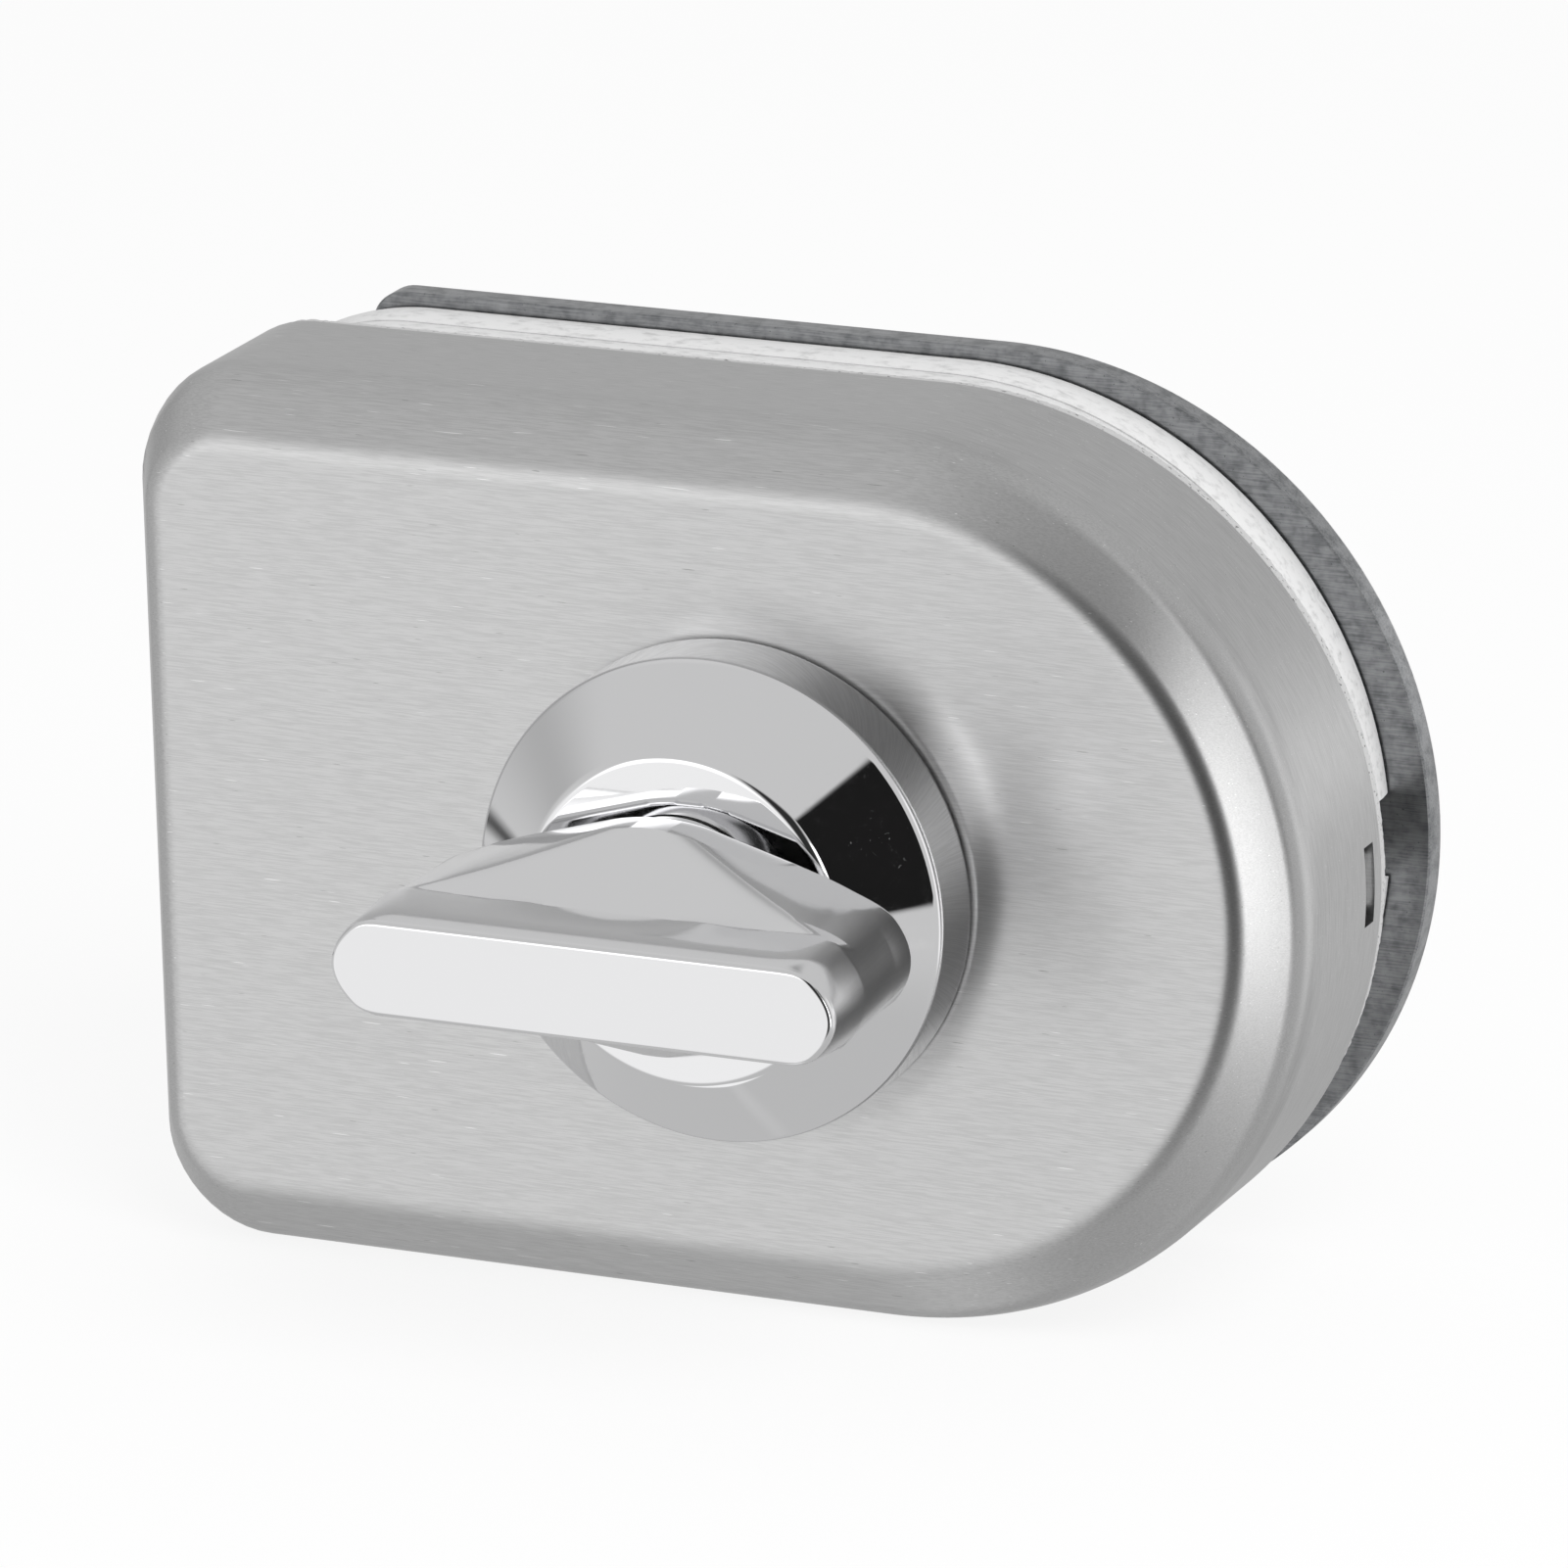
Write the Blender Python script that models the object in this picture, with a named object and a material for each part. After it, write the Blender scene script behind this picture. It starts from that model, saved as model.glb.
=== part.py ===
"""Thumb-turn lock for a frameless glass door, closed up as it comes out of its box.

A stamped steel cover snaps over a cast base that carries the mechanism: a thumb turn drives a
pinion through a square spindle, and the pinion throws a toothed deadbolt out of the flat end.
A flat rear plate clamps the glass against the base between two soft gaskets.

Lengths are in metres. The lock stands on its flat lower edge, with the thumb turn towards -Y and
the bolt's end towards -X. Inside the script a place is given from the cover: x from its flat end,
y from its face towards the glass, z from mid height.
"""

import math

import bmesh
import bpy
from mathutils import Matrix, Vector

# Body outline: a flat end on the left and a half round end on the right
body_length = 0.0978
body_height = 0.0720
corner_radius = 0.0080

# Cover: a stamped shell with a bevelled front edge
cover_depth = 0.0176
cover_sheet = 0.0012
bevel_width = 0.0050
bevel_depth = 0.0034
bevel_round = 0.0020
flat_end_fillet = 0.0030
rim_round = 0.0003
edge_break = 0.0003

# Clearances
seat_gap = 0.0003
running_gap = 0.0003
screw_gap = 0.0003

# Base: a casting whose floor stands proud of the cover's rim
base_floor = 0.0022
base_proud = 0.0009
base_lip_height = 0.0030
base_lip_wall = 0.0015
channel_wall = 0.0030
clamp_boss_radius = 0.0045
clamp_boss_height = 0.0066
lid_boss_radius = 0.0030

# Deadbolt and its rack
bolt_thickness = 0.0080
bolt_height = 0.0260
bolt_nose_chamfer = 0.0010
bolt_nose_recess = 0.0006
bolt_tail = 0.0040
bolt_turn_angle = math.radians(90)
rack_teeth = 8

# Pinion
gear_module = 0.0010
gear_teeth = 16
pressure_angle = math.radians(20)
tooth_play = 0.0002
gear_face_play = 0.0001
journal_radius = 0.0055
bush_wall = 0.0012

# Thumb turn
turn_from_round_end = 0.0460
turn_reach = 0.0295
turn_length = 0.0416
turn_thickness = 0.0077
turn_end_sagitta = 0.0026
turn_edge_round = 0.0005
turn_band_depth = 0.0058
turn_band_rise = 0.0007
turn_neck_show = 0.0021
turn_hump_radius = 0.0091
turn_hump_flat = 0.0031
turn_hump_half_width = 0.0150
turn_neck_radius = 0.0085
turn_shaft_radius = 0.0060
turn_shaft_tip = 0.0003
turn_blend_power = 26.0

# Square spindle
spindle_width = 0.0055
spindle_chamfer = 0.0005
spindle_grip = 0.0200

# Rosette round the thumb turn
rosette_radius = 0.0194
rosette_rim_height = 0.0061
rosette_top_height = 0.0114
rosette_top_radius = 0.0130
rosette_edge_round = 0.0002
rosette_shank_radius = 0.0110
turn_bush_wall = 0.0013
washer_thickness = 0.0006
washer_radius = 0.0145
nut_thickness = 0.0018
nut_across_flats = 0.0270

# Retaining ring behind the rosette
ring_thickness = 0.0007
ring_width = 0.0027
ring_groove_depth = 0.0008
ring_opening = math.radians(50)

# Lid over the mechanism
lid_thickness = 0.0015
lid_half_height = 0.0219
lid_corner = 0.0030

# Bolt guide and stop pin
guide_length = 0.0050
guide_wall = 0.0025
stop_pin_radius = 0.0020
stop_slot_web = 0.0018

# Friction spring under the bolt, below the pinion
spring_span = 0.0180
spring_pocket_depth = 0.0051
spring_sheet = 0.0004
spring_width = 0.0060

# Cover catch in the slot at the round end
catch_sheet = 0.0008
catch_height = 0.0080
catch_nose_height = 0.0042
catch_nose_depth = 0.0012
catch_reach_forward = 0.0100
catch_slot_height = 0.0064
catch_slot_depth = 0.0018
catch_slot_from_rim = 0.0017
catch_wall_gap = 0.0008

# Gaskets
gasket_thickness = 0.0041
gasket_inset = 0.0013
gasket_end_inset = 0.0030
gasket_left = 0.0087
gasket_corner = 0.0040
notch_height = 0.0068
notch_depth = 0.0060

# Rear plate
plate_thickness = 0.0025
plate_left = 0.0080
plate_corner = 0.0030
plate_edge_chamfer = 0.0002

# Screws
clamp_screw_radius = 0.0025
clamp_head_radius = 0.0047
clamp_head_recess = 0.0002
clamp_key_width = 0.0030
clamp_key_depth = 0.0017
clamp_screw_edge_distance = 0.0095
clamp_screw_left_x = 0.0220
clamp_screw_from_round_end = 0.0148
sleeve_wall = 0.0011
small_screw_radius = 0.0015
small_head_radius = 0.0027
small_head_height = 0.0016
lid_screw_length = 0.0075
cross_width = 0.0006
cross_length = 0.0026
cross_depth = 0.0009
lid_screw_left_x = 0.0120
lid_screw_from_channel_end = 0.0039
lid_screw_z = 0.0186

# Fineness of the faceted outlines
round_end_steps = 32
corner_steps = 5
bevel_steps = 4
turned_steps = 40
small_turned_steps = 18
turn_steps = 56
turn_point_crowding = 2.4

# Depths from the cover's face towards the glass
base_rear = cover_depth + base_proud
base_front = base_rear - base_floor
bolt_rear = base_front - running_gap
bolt_front = bolt_rear - bolt_thickness
lid_rear = bolt_front - running_gap
lid_front = lid_rear - lid_thickness
front_gasket_y = base_rear + seat_gap
rear_gasket_y = front_gasket_y + gasket_thickness + seat_gap
plate_front = rear_gasket_y + gasket_thickness + seat_gap
plate_rear = plate_front + plate_thickness
washer_y = cover_sheet + seat_gap
nut_y = washer_y + washer_thickness + seat_gap
shank_end = nut_y + nut_thickness
ring_front = shank_end + running_gap
ring_rear = ring_front + ring_thickness
turn_shaft_end = ring_rear + running_gap + turn_shaft_tip
clamp_head_y = plate_rear - clamp_head_recess
clamp_head_height = clamp_head_radius - clamp_screw_radius
clamp_boss_front = base_front - clamp_boss_height

# Radii and lengths that follow
turn_x = body_length - turn_from_round_end
turn_bar_depth = turn_reach - rosette_top_height - turn_neck_show
turn_hump_reach = turn_bar_depth - turn_hump_flat
cover_inside = cover_sheet + seat_gap
pitch_radius = gear_module * gear_teeth / 2
tip_radius = pitch_radius + gear_module
window_half_height = tip_radius + running_gap
bolt_throw = pitch_radius * bolt_turn_angle
window_left = turn_x - window_half_height
window_right = turn_x + window_half_height + bolt_throw
bolt_half_height = bolt_height / 2
channel_half_height = bolt_half_height + running_gap
bolt_end = window_right + bolt_tail
channel_end = bolt_end + guide_length / 4
guide_start = cover_inside
channel_start = guide_start + guide_length + seat_gap
bush_inner_radius = journal_radius + running_gap
bush_outer_radius = bush_inner_radius + bush_wall
bush_seat_radius = bush_outer_radius + seat_gap
turn_bush_inner = turn_shaft_radius + running_gap
turn_bush_outer = turn_bush_inner + turn_bush_wall
rosette_bore = turn_bush_outer + seat_gap
shank_hole_radius = rosette_shank_radius + seat_gap
groove_radius = turn_shaft_radius - ring_groove_depth
spindle_half = spindle_width / 2
socket_half = spindle_half + seat_gap
stop_pin_x = window_left - stop_slot_web - bolt_throw - stop_pin_radius - screw_gap
sleeve_inner = clamp_screw_radius + screw_gap
sleeve_outer = sleeve_inner + sleeve_wall
gasket_hole_radius = sleeve_outer + seat_gap
small_hole_radius = small_screw_radius + screw_gap
pin_hole_radius = stop_pin_radius + screw_gap

clamp_screw_z = body_height / 2 - clamp_screw_edge_distance
clamp_screw_right_x = body_length - clamp_screw_from_round_end
clamp_screws = (
    (clamp_screw_left_x, clamp_screw_z),
    (clamp_screw_left_x, -clamp_screw_z),
    (clamp_screw_right_x, 0.0),
)
lid_screws_x = (lid_screw_left_x, channel_end - lid_screw_from_channel_end)
lid_screws = tuple((x, side * lid_screw_z) for x in lid_screws_x for side in (1, -1))

# The lock's own frame: the middle of its box, on the surface that it stands on
frame_place = Vector((-body_length / 2, (turn_reach - plate_rear) / 2, body_height / 2))
turn_axis_place = Vector((turn_x, 0.0, 0.0))


def clear_scene():
    """Remove whatever objects the file opened with."""
    for item in list(bpy.data.objects):
        bpy.data.objects.remove(item, do_unlink=True)


def make_material(name, colour, metallic, roughness):
    """Return a Principled material of one colour."""
    material = bpy.data.materials.new(name)
    material.use_nodes = True
    shader = material.node_tree.nodes["Principled BSDF"]
    shader.inputs["Base Color"].default_value = (*colour, 1.0)
    shader.inputs["Metallic"].default_value = metallic
    shader.inputs["Roughness"].default_value = roughness
    material.diffuse_color = (*colour, 1.0)
    return material


def make_empty(name, place, parent=None):
    """Return an empty at a place in its parent's frame."""
    empty = bpy.data.objects.new(name, None)
    empty.empty_display_size = turn_shaft_radius
    empty.location = place
    empty.parent = parent
    bpy.context.collection.objects.link(empty)
    return empty


# Outlines in the plane of the cover's face, as lists of (x, z)

def arc_points(centre_x, centre_z, radius, start, end, steps):
    """Points along an arc, both ends included."""
    points = []
    for step in range(steps + 1):
        angle = start + (end - start) * step / steps
        points.append((centre_x + radius * math.cos(angle), centre_z + radius * math.sin(angle)))
    return points


def d_outline(left, right, half_height, corner):
    """The body's outline: flat end with round corners on the left, half round end on the right."""
    centre = right - half_height
    points = arc_points(left + corner, half_height - corner, corner, math.pi, math.pi / 2, corner_steps)
    points += arc_points(centre, 0.0, half_height, math.pi / 2, -math.pi / 2, round_end_steps)
    points += arc_points(left + corner, corner - half_height, corner, -math.pi / 2, -math.pi, corner_steps)
    return points


def inset_d_outline(inset):
    """The body's outline moved inwards by the same amount all round."""
    return d_outline(inset, body_length - inset, body_height / 2 - inset, corner_radius - inset)


def rectangle(x_low, x_high, z_low, z_high, corner=0.0):
    """A rectangle, with round corners where a radius is given."""
    if corner == 0.0:
        return [(x_low, z_low), (x_low, z_high), (x_high, z_high), (x_high, z_low)]
    centres = (
        (x_low + corner, z_high - corner, math.pi),
        (x_high - corner, z_high - corner, math.pi / 2),
        (x_high - corner, z_low + corner, 0.0),
        (x_low + corner, z_low + corner, -math.pi / 2),
    )
    points = []
    for centre_x, centre_z, start in centres:
        points += arc_points(centre_x, centre_z, corner, start, start - math.pi / 2, corner_steps)
    return points


def circle(centre_x, centre_z, radius, steps):
    """A full circle, run the same way round as the other outlines."""
    return arc_points(centre_x, centre_z, radius, 2 * math.pi, 2 * math.pi / steps, steps - 1)


def chamfered_square(half_width, chamfer):
    """A square about the turn's axis with its corners cut."""
    near = half_width - chamfer
    corners = [(-half_width, near), (-near, half_width), (near, half_width), (half_width, near)]
    return [(turn_x + x, z) for x, z in corners + [(-x, -z) for x, z in corners]]


# Meshes

def loft(levels, closed=False):
    """Join rings of equal size, each an outline and its depth, into one closed mesh.

    The first and last ring are capped, or joined to each other where the section is closed.
    """
    mesh = bmesh.new()
    rings = []
    for outline, depth in levels:
        rings.append([mesh.verts.new((x, depth, z)) for x, z in outline])
    pairs = list(zip(rings, rings[1:]))
    if closed:
        pairs.append((rings[-1], rings[0]))
    else:
        mesh.faces.new(rings[0])
        mesh.faces.new(reversed(rings[-1]))
    for near, far in pairs:
        for index in range(len(near)):
            following = (index + 1) % len(near)
            mesh.faces.new((near[following], near[index], far[index], far[following]))
    bmesh.ops.recalc_face_normals(mesh, faces=mesh.faces)
    return mesh


def extrude(outline, front, rear):
    """A prism along Y."""
    return loft([(outline, front), (outline, rear)])


def block(x_low, x_high, front, rear, z_low, z_high):
    """A plain block, used as a wall or as a cutter."""
    return extrude(rectangle(x_low, x_high, z_low, z_high), front, rear)


def disc(centre_x, centre_z, radius, front, rear, steps=small_turned_steps):
    """A plain cylinder along Y."""
    return extrude(circle(centre_x, centre_z, radius, steps), front, rear)


def turned(profile, centre_x, centre_z, steps, closed=False):
    """A turned piece: a profile of (radius, depth) about an axis along Y."""
    levels = [(circle(centre_x, centre_z, radius, steps), depth) for radius, depth in profile]
    return loft(levels, closed)


def turned_ring(inner, outer, front, rear, centre_x, centre_z, steps, edge=0.0):
    """A sleeve or washer, with its outer edges broken where an edge width is given."""
    profile = [(inner, front), (outer - edge, front)]
    if edge > 0.0:
        profile += [(outer, front + edge), (outer, rear - edge)]
    profile += [(outer - edge, rear), (inner, rear)]
    return turned(profile, centre_x, centre_z, steps, closed=True)


def extrude_across(outline, low, high):
    """A prism along Z from an outline of (x, y)."""
    mesh = extrude(outline, low, high)
    for vertex in mesh.verts:
        x, z, y = vertex.co
        vertex.co = (x, y, z)
    bmesh.ops.recalc_face_normals(mesh, faces=mesh.faces)
    return mesh


def to_object(name, mesh):
    """Turn a built mesh into an object in the lock's own frame."""
    data = bpy.data.meshes.new(name)
    mesh.to_mesh(data)
    mesh.free()
    item = bpy.data.objects.new(name, data)
    bpy.context.collection.objects.link(item)
    return item


def combine(item, operation, meshes):
    """Cut meshes out of an object, or fuse them to it, one after another."""
    tools = []
    for number, mesh in enumerate(meshes):
        tool = to_object(f"{item.name}_tool_{number}", mesh)
        tool.hide_render = True
        tool.display_type = 'WIRE'
        modifier = item.modifiers.new(f"{operation.title()} {number}", 'BOOLEAN')
        modifier.operation = operation
        modifier.object = tool
        tools.append(tool)
    graph = bpy.context.evaluated_depsgraph_get()
    result = bpy.data.meshes.new_from_object(item.evaluated_get(graph))
    item.modifiers.clear()
    item.data = result
    for tool in tools:
        bpy.data.objects.remove(tool, do_unlink=True)


def cut(item, *meshes):
    """Cut each mesh out of an object."""
    combine(item, 'DIFFERENCE', meshes)


def fuse(item, *meshes):
    """Fuse each mesh to an object."""
    combine(item, 'UNION', meshes)


def finish(item, material, parent, smooth_angle=35):
    """Give an object its material, its shading and its place under its parent."""
    item.data.transform(Matrix.Translation(-(parent.matrix_world.translation - frame_place)))
    item.data.materials.clear()
    item.data.materials.append(material)
    item.data.shade_smooth()
    item.data.set_sharp_from_angle(angle=math.radians(smooth_angle))
    item.parent = parent
    return item


# The cover

def bevel_profile(offset):
    """Points of (inset, depth) over the rounded bevel, moved into the sheet by the offset."""
    slope = math.atan2(bevel_depth, bevel_width)
    face_tangent = bevel_round * math.tan(slope / 2)
    wall_tangent = bevel_round * math.tan((math.pi / 2 - slope) / 2)
    radius = max(bevel_round - offset, edge_break)
    points = []
    for centre, start, end in (
        ((bevel_width + face_tangent, bevel_round), 0.0, slope),
        ((bevel_round, bevel_depth + wall_tangent), slope, math.pi / 2),
    ):
        for step in range(bevel_steps + 1):
            angle = start + (end - start) * step / bevel_steps
            inset = centre[0] - radius * math.sin(angle)
            points.append((inset, centre[1] - radius * math.cos(angle)))
    return points


def flat_end_inset(depth, offset):
    """How far the fillet of the flat end stands in from the end at a depth."""
    rise = max(flat_end_fillet - depth, 0.0)
    reach = flat_end_fillet - offset
    return flat_end_fillet - math.sqrt(max(reach * reach - rise * rise, 0.0))


def cover_level(inset, depth, offset):
    """One ring of the shell."""
    left = flat_end_inset(depth, offset)
    outline = d_outline(left, body_length - inset, body_height / 2 - inset, corner_radius - left)
    return outline, depth


def build_front_cover(material, parent):
    """Stamped shell with its rosette hole, bolt slot and catch slot."""
    outer = [cover_level(inset, depth, 0.0) for inset, depth in bevel_profile(0.0)]
    outer.append((inset_d_outline(0.0), cover_depth - rim_round))
    outer.append((inset_d_outline(rim_round), cover_depth))
    inner = [(inset_d_outline(cover_sheet), cover_depth)]
    inner += [cover_level(inset, depth, cover_sheet) for inset, depth in reversed(bevel_profile(cover_sheet))]
    item = to_object("front_cover", loft(outer + inner))
    slot_rear = cover_depth - catch_slot_from_rim
    past_wall = body_length + cover_sheet
    cut(
        item,
        disc(turn_x, 0.0, shank_hole_radius, -cover_sheet, 2 * cover_sheet, turned_steps),
        block(
            -cover_sheet, 2 * cover_sheet,
            bolt_front - running_gap, bolt_rear + running_gap,
            -channel_half_height, channel_half_height,
        ),
        block(
            body_length - 3 * cover_sheet, past_wall,
            slot_rear - catch_slot_depth, slot_rear,
            -catch_slot_height / 2, catch_slot_height / 2,
        ),
    )
    return finish(item, material, parent, 30)


# Rosette and what holds it to the cover

def build_rosette(material, parent):
    """Turned rosette: straight rim, cone, flat top round the turn, and a shank through the cover."""
    edge = rosette_edge_round
    profile = [
        (rosette_bore, shank_end),
        (rosette_shank_radius, shank_end),
        (rosette_shank_radius, -seat_gap),
        (rosette_radius - edge, -seat_gap),
        (rosette_radius, -seat_gap - edge),
        (rosette_radius, edge - rosette_rim_height),
        (rosette_radius - edge, -rosette_rim_height),
        (rosette_top_radius + edge, edge - rosette_top_height),
        (rosette_top_radius - edge, -rosette_top_height),
        (rosette_bore + edge, -rosette_top_height),
        (rosette_bore, edge - rosette_top_height),
    ]
    item = to_object("rosette", turned(profile, turn_x, 0.0, turned_steps, closed=True))
    return finish(item, material, parent, 20)


def build_turn_bush(material, parent):
    """Nylon sleeve that the turn's shaft runs in."""
    front = seat_gap - rosette_top_height
    mesh = turned_ring(turn_bush_inner, turn_bush_outer, front, shank_end, turn_x, 0.0,
                       turned_steps, rosette_edge_round)
    return finish(to_object("turn_bush", mesh), material, parent)


def build_rosette_washer(material, parent):
    """Plain washer behind the cover."""
    mesh = turned_ring(shank_hole_radius, washer_radius, washer_y, washer_y + washer_thickness,
                       turn_x, 0.0, turned_steps)
    return finish(to_object("rosette_washer", mesh), material, parent)


def build_rosette_nut(material, parent):
    """Thin hexagon nut on the rosette's shank."""
    corner = nut_across_flats / math.sqrt(3)
    item = to_object("rosette_nut", disc(turn_x, 0.0, corner, nut_y, nut_y + nut_thickness, 6))
    cut(item, disc(turn_x, 0.0, shank_hole_radius, washer_y, 2 * shank_end, turned_steps))
    return finish(item, material, parent)


def build_retaining_ring(material, parent):
    """Open ring in the shaft's groove, with an ear at each end."""
    inner = groove_radius + seat_gap
    outer = inner + ring_width
    half_gap = ring_opening / 2
    start = -math.pi / 2 + half_gap
    end = 3 * math.pi / 2 - half_gap
    band = arc_points(turn_x, 0.0, outer, start, end, small_turned_steps)
    band += arc_points(turn_x, 0.0, inner, end, start, small_turned_steps)
    item = to_object("retaining_ring", extrude(band, ring_front, ring_rear))
    ear_radius = ring_width / 2 + ring_thickness
    middle = (inner + outer) / 2
    ears = []
    for side in (start, end):
        ear_x = turn_x + middle * math.cos(side)
        ears.append(disc(ear_x, middle * math.sin(side), ear_radius, ring_front, ring_rear, 12))
    fuse(item, *ears)
    cut(item, disc(turn_x, 0.0, inner, 0.0, 2 * ring_rear))
    return finish(item, material, parent)


# The thumb turn

def turn_angles():
    """Directions about the axis, closer together where the bar's ends are."""
    angles = []
    for step in range(turn_steps):
        even = 2 * math.pi * step / turn_steps
        angles.append(math.atan2(math.sin(even), math.cos(even) * turn_point_crowding))
    return angles


def softer(first, second):
    """The smaller of two distances, with the corner between them rounded."""
    return (first ** -turn_blend_power + second ** -turn_blend_power) ** (-1 / turn_blend_power)


def bar_end_radius(along, across, inset):
    """Distance from the axis to the bowed end of the bar, which runs straight back along the axis."""
    bow = (turn_thickness ** 2 / 4 + turn_end_sagitta ** 2) / (2 * turn_end_sagitta)
    bow_centre = turn_length / 2 - bow
    spread = (bow - inset) ** 2 - (bow_centre * across) ** 2
    if spread <= 0.0:
        return turn_length
    return bow_centre * along + math.sqrt(spread)


def hump_radius(along, across, growth):
    """Distance from the axis to the hump between bar and neck: a flat top and two straight flanks."""
    low = turn_thickness / 2 + turn_band_rise
    top_height = low + (turn_hump_radius - low) * growth
    shoulder_x = turn_length / 2 - turn_end_sagitta
    tangent = math.acos(turn_hump_radius / math.hypot(shoulder_x, low)) + math.atan2(low, shoulder_x)
    narrow = turn_hump_radius * math.cos(tangent)
    half_width = turn_hump_half_width + (narrow - turn_hump_half_width) * growth
    slope = (top_height - low) / (shoulder_x - half_width)
    flank = (top_height + slope * half_width) / (across + slope * along)
    return softer(top_height / across, flank)


def turn_section(inset, rise, growth):
    """One section of the turn, square to its axis."""
    points = []
    for angle in turn_angles():
        along = abs(math.cos(angle))
        across = max(abs(math.sin(angle)), 1e-9)
        side = (turn_thickness / 2 - inset + rise) / across
        if growth > 0.0:
            side = max(side, hump_radius(along, across, growth) - inset)
        radius = softer(side, bar_end_radius(along, across, inset))
        points.append((turn_x + radius * math.cos(angle), radius * math.sin(angle)))
    return points


def shaft_section(radius):
    """A round section with the same directions as the turn's other sections."""
    return [(turn_x + radius * math.cos(angle), radius * math.sin(angle)) for angle in turn_angles()]


def build_thumb_turn(material, parent):
    """Cast turn: bowed bar, hump, neck and shaft in one piece, with a square socket for the spindle."""
    front = -turn_reach
    levels = []
    for step in range(bevel_steps):
        lean = math.pi / 2 * step / (bevel_steps - 1)
        inset = turn_edge_round * (1 - math.sin(lean))
        depth = front + turn_edge_round * (1 - math.cos(lean))
        levels.append((turn_section(inset, 0.0, 0.0), depth))
    band_end = front + turn_band_depth
    levels.append((turn_section(0.0, turn_band_rise, 0.0), band_end))
    hump_end = front + turn_hump_reach
    hump_steps = 2 * bevel_steps
    for step in range(1, hump_steps + 1):
        growth = step / hump_steps
        depth = band_end + (hump_end - band_end) * growth
        levels.append((turn_section(0.0, turn_band_rise, growth), depth))
    bar_rear = front + turn_bar_depth
    levels.append((turn_section(0.0, turn_band_rise, 1.0), bar_rear - turn_edge_round))
    levels.append((turn_section(turn_edge_round, turn_band_rise, 1.0), bar_rear))
    neck_end = -rosette_top_height - running_gap
    groove_front = ring_front - running_gap / 2
    groove_rear = ring_rear + running_gap
    for radius, depth in (
        (turn_neck_radius, bar_rear),
        (turn_neck_radius, neck_end),
        (turn_shaft_radius, neck_end),
        (turn_shaft_radius, groove_front),
        (groove_radius, groove_front),
        (groove_radius, groove_rear),
        (turn_shaft_radius, groove_rear),
        (turn_shaft_radius, turn_shaft_end),
    ):
        levels.append((shaft_section(radius), depth))
    item = to_object("thumb_turn", loft(levels))
    socket_front = turn_shaft_end - spindle_grip - seat_gap
    cut(item, extrude(chamfered_square(socket_half, spindle_chamfer), socket_front, 2 * turn_shaft_end))
    return finish(item, material, parent, 30)


def build_spindle(material, parent):
    """Square bar from the turn to the pinion."""
    front = turn_shaft_end - spindle_grip
    rear = base_rear - seat_gap
    small = chamfered_square(spindle_half - spindle_chamfer, spindle_chamfer / 2)
    full = chamfered_square(spindle_half, spindle_chamfer)
    mesh = loft([(small, front), (full, front + spindle_chamfer), (full, rear - spindle_chamfer), (small, rear)])
    return finish(to_object("spindle", mesh), material, parent)


# Pinion, rack and bolt

def involute(angle):
    """The involute function."""
    return math.tan(angle) - angle


def half_tooth_angle(radius):
    """Half of a pinion tooth's width at a radius, as an angle about the axis."""
    base_radius = pitch_radius * math.cos(pressure_angle)
    at_pitch = (math.pi * gear_module / 2 - tooth_play) / (2 * pitch_radius)
    flank = math.acos(min(base_radius / radius, 1.0))
    return at_pitch + involute(pressure_angle) - involute(flank)


def pinion_points():
    """Radius and direction of each point of the toothed outline, with a tooth straight up."""
    base_radius = pitch_radius * math.cos(pressure_angle)
    root_radius = pitch_radius - gear_module - running_gap
    flank_radii = (root_radius, base_radius, (base_radius + tip_radius) / 2, tip_radius)
    points = []
    for tooth in range(gear_teeth):
        middle = math.pi / 2 - 2 * math.pi * tooth / gear_teeth
        for radius in flank_radii:
            points.append((radius, middle + half_tooth_angle(max(radius, base_radius))))
        for radius in reversed(flank_radii):
            points.append((radius, middle - half_tooth_angle(max(radius, base_radius))))
    return points


def build_pinion(material, parent):
    """Involute pinion with a journal on each side and a square bore."""
    polar = pinion_points()
    toothed = [(turn_x + radius * math.cos(angle), radius * math.sin(angle)) for radius, angle in polar]
    journal = [(turn_x + journal_radius * math.cos(a), journal_radius * math.sin(a)) for _, a in polar]
    gear_front = bolt_front + gear_face_play
    gear_rear = bolt_rear - gear_face_play
    mesh = loft([
        (journal, lid_front + gear_face_play),
        (journal, gear_front),
        (toothed, gear_front),
        (toothed, gear_rear),
        (journal, gear_rear),
        (journal, base_rear - seat_gap),
    ])
    item = to_object("pinion", mesh)
    cut(item, extrude(chamfered_square(socket_half, spindle_chamfer), 0.0, 2 * base_rear))
    return finish(item, material, parent, 25)


def rack_window():
    """The bolt's window round the pinion, with rack teeth along its upper side."""
    pitch = math.pi * gear_module
    half_tooth = (pitch / 2 - tooth_play) / 2
    lean = math.tan(pressure_angle)
    half_root = half_tooth + (window_half_height - pitch_radius) * lean
    half_tip = half_tooth - gear_module * lean
    tip_height = pitch_radius - gear_module
    first = turn_x - pitch * (rack_teeth // 4) + pitch / 2
    points = [(window_left, -window_half_height), (window_left, window_half_height)]
    for tooth in range(rack_teeth):
        middle = first + pitch * tooth
        points += [
            (middle - half_root, window_half_height),
            (middle - half_tip, tip_height),
            (middle + half_tip, tip_height),
            (middle + half_root, window_half_height),
        ]
    points += [(window_right, window_half_height), (window_right, -window_half_height)]
    return points


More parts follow.
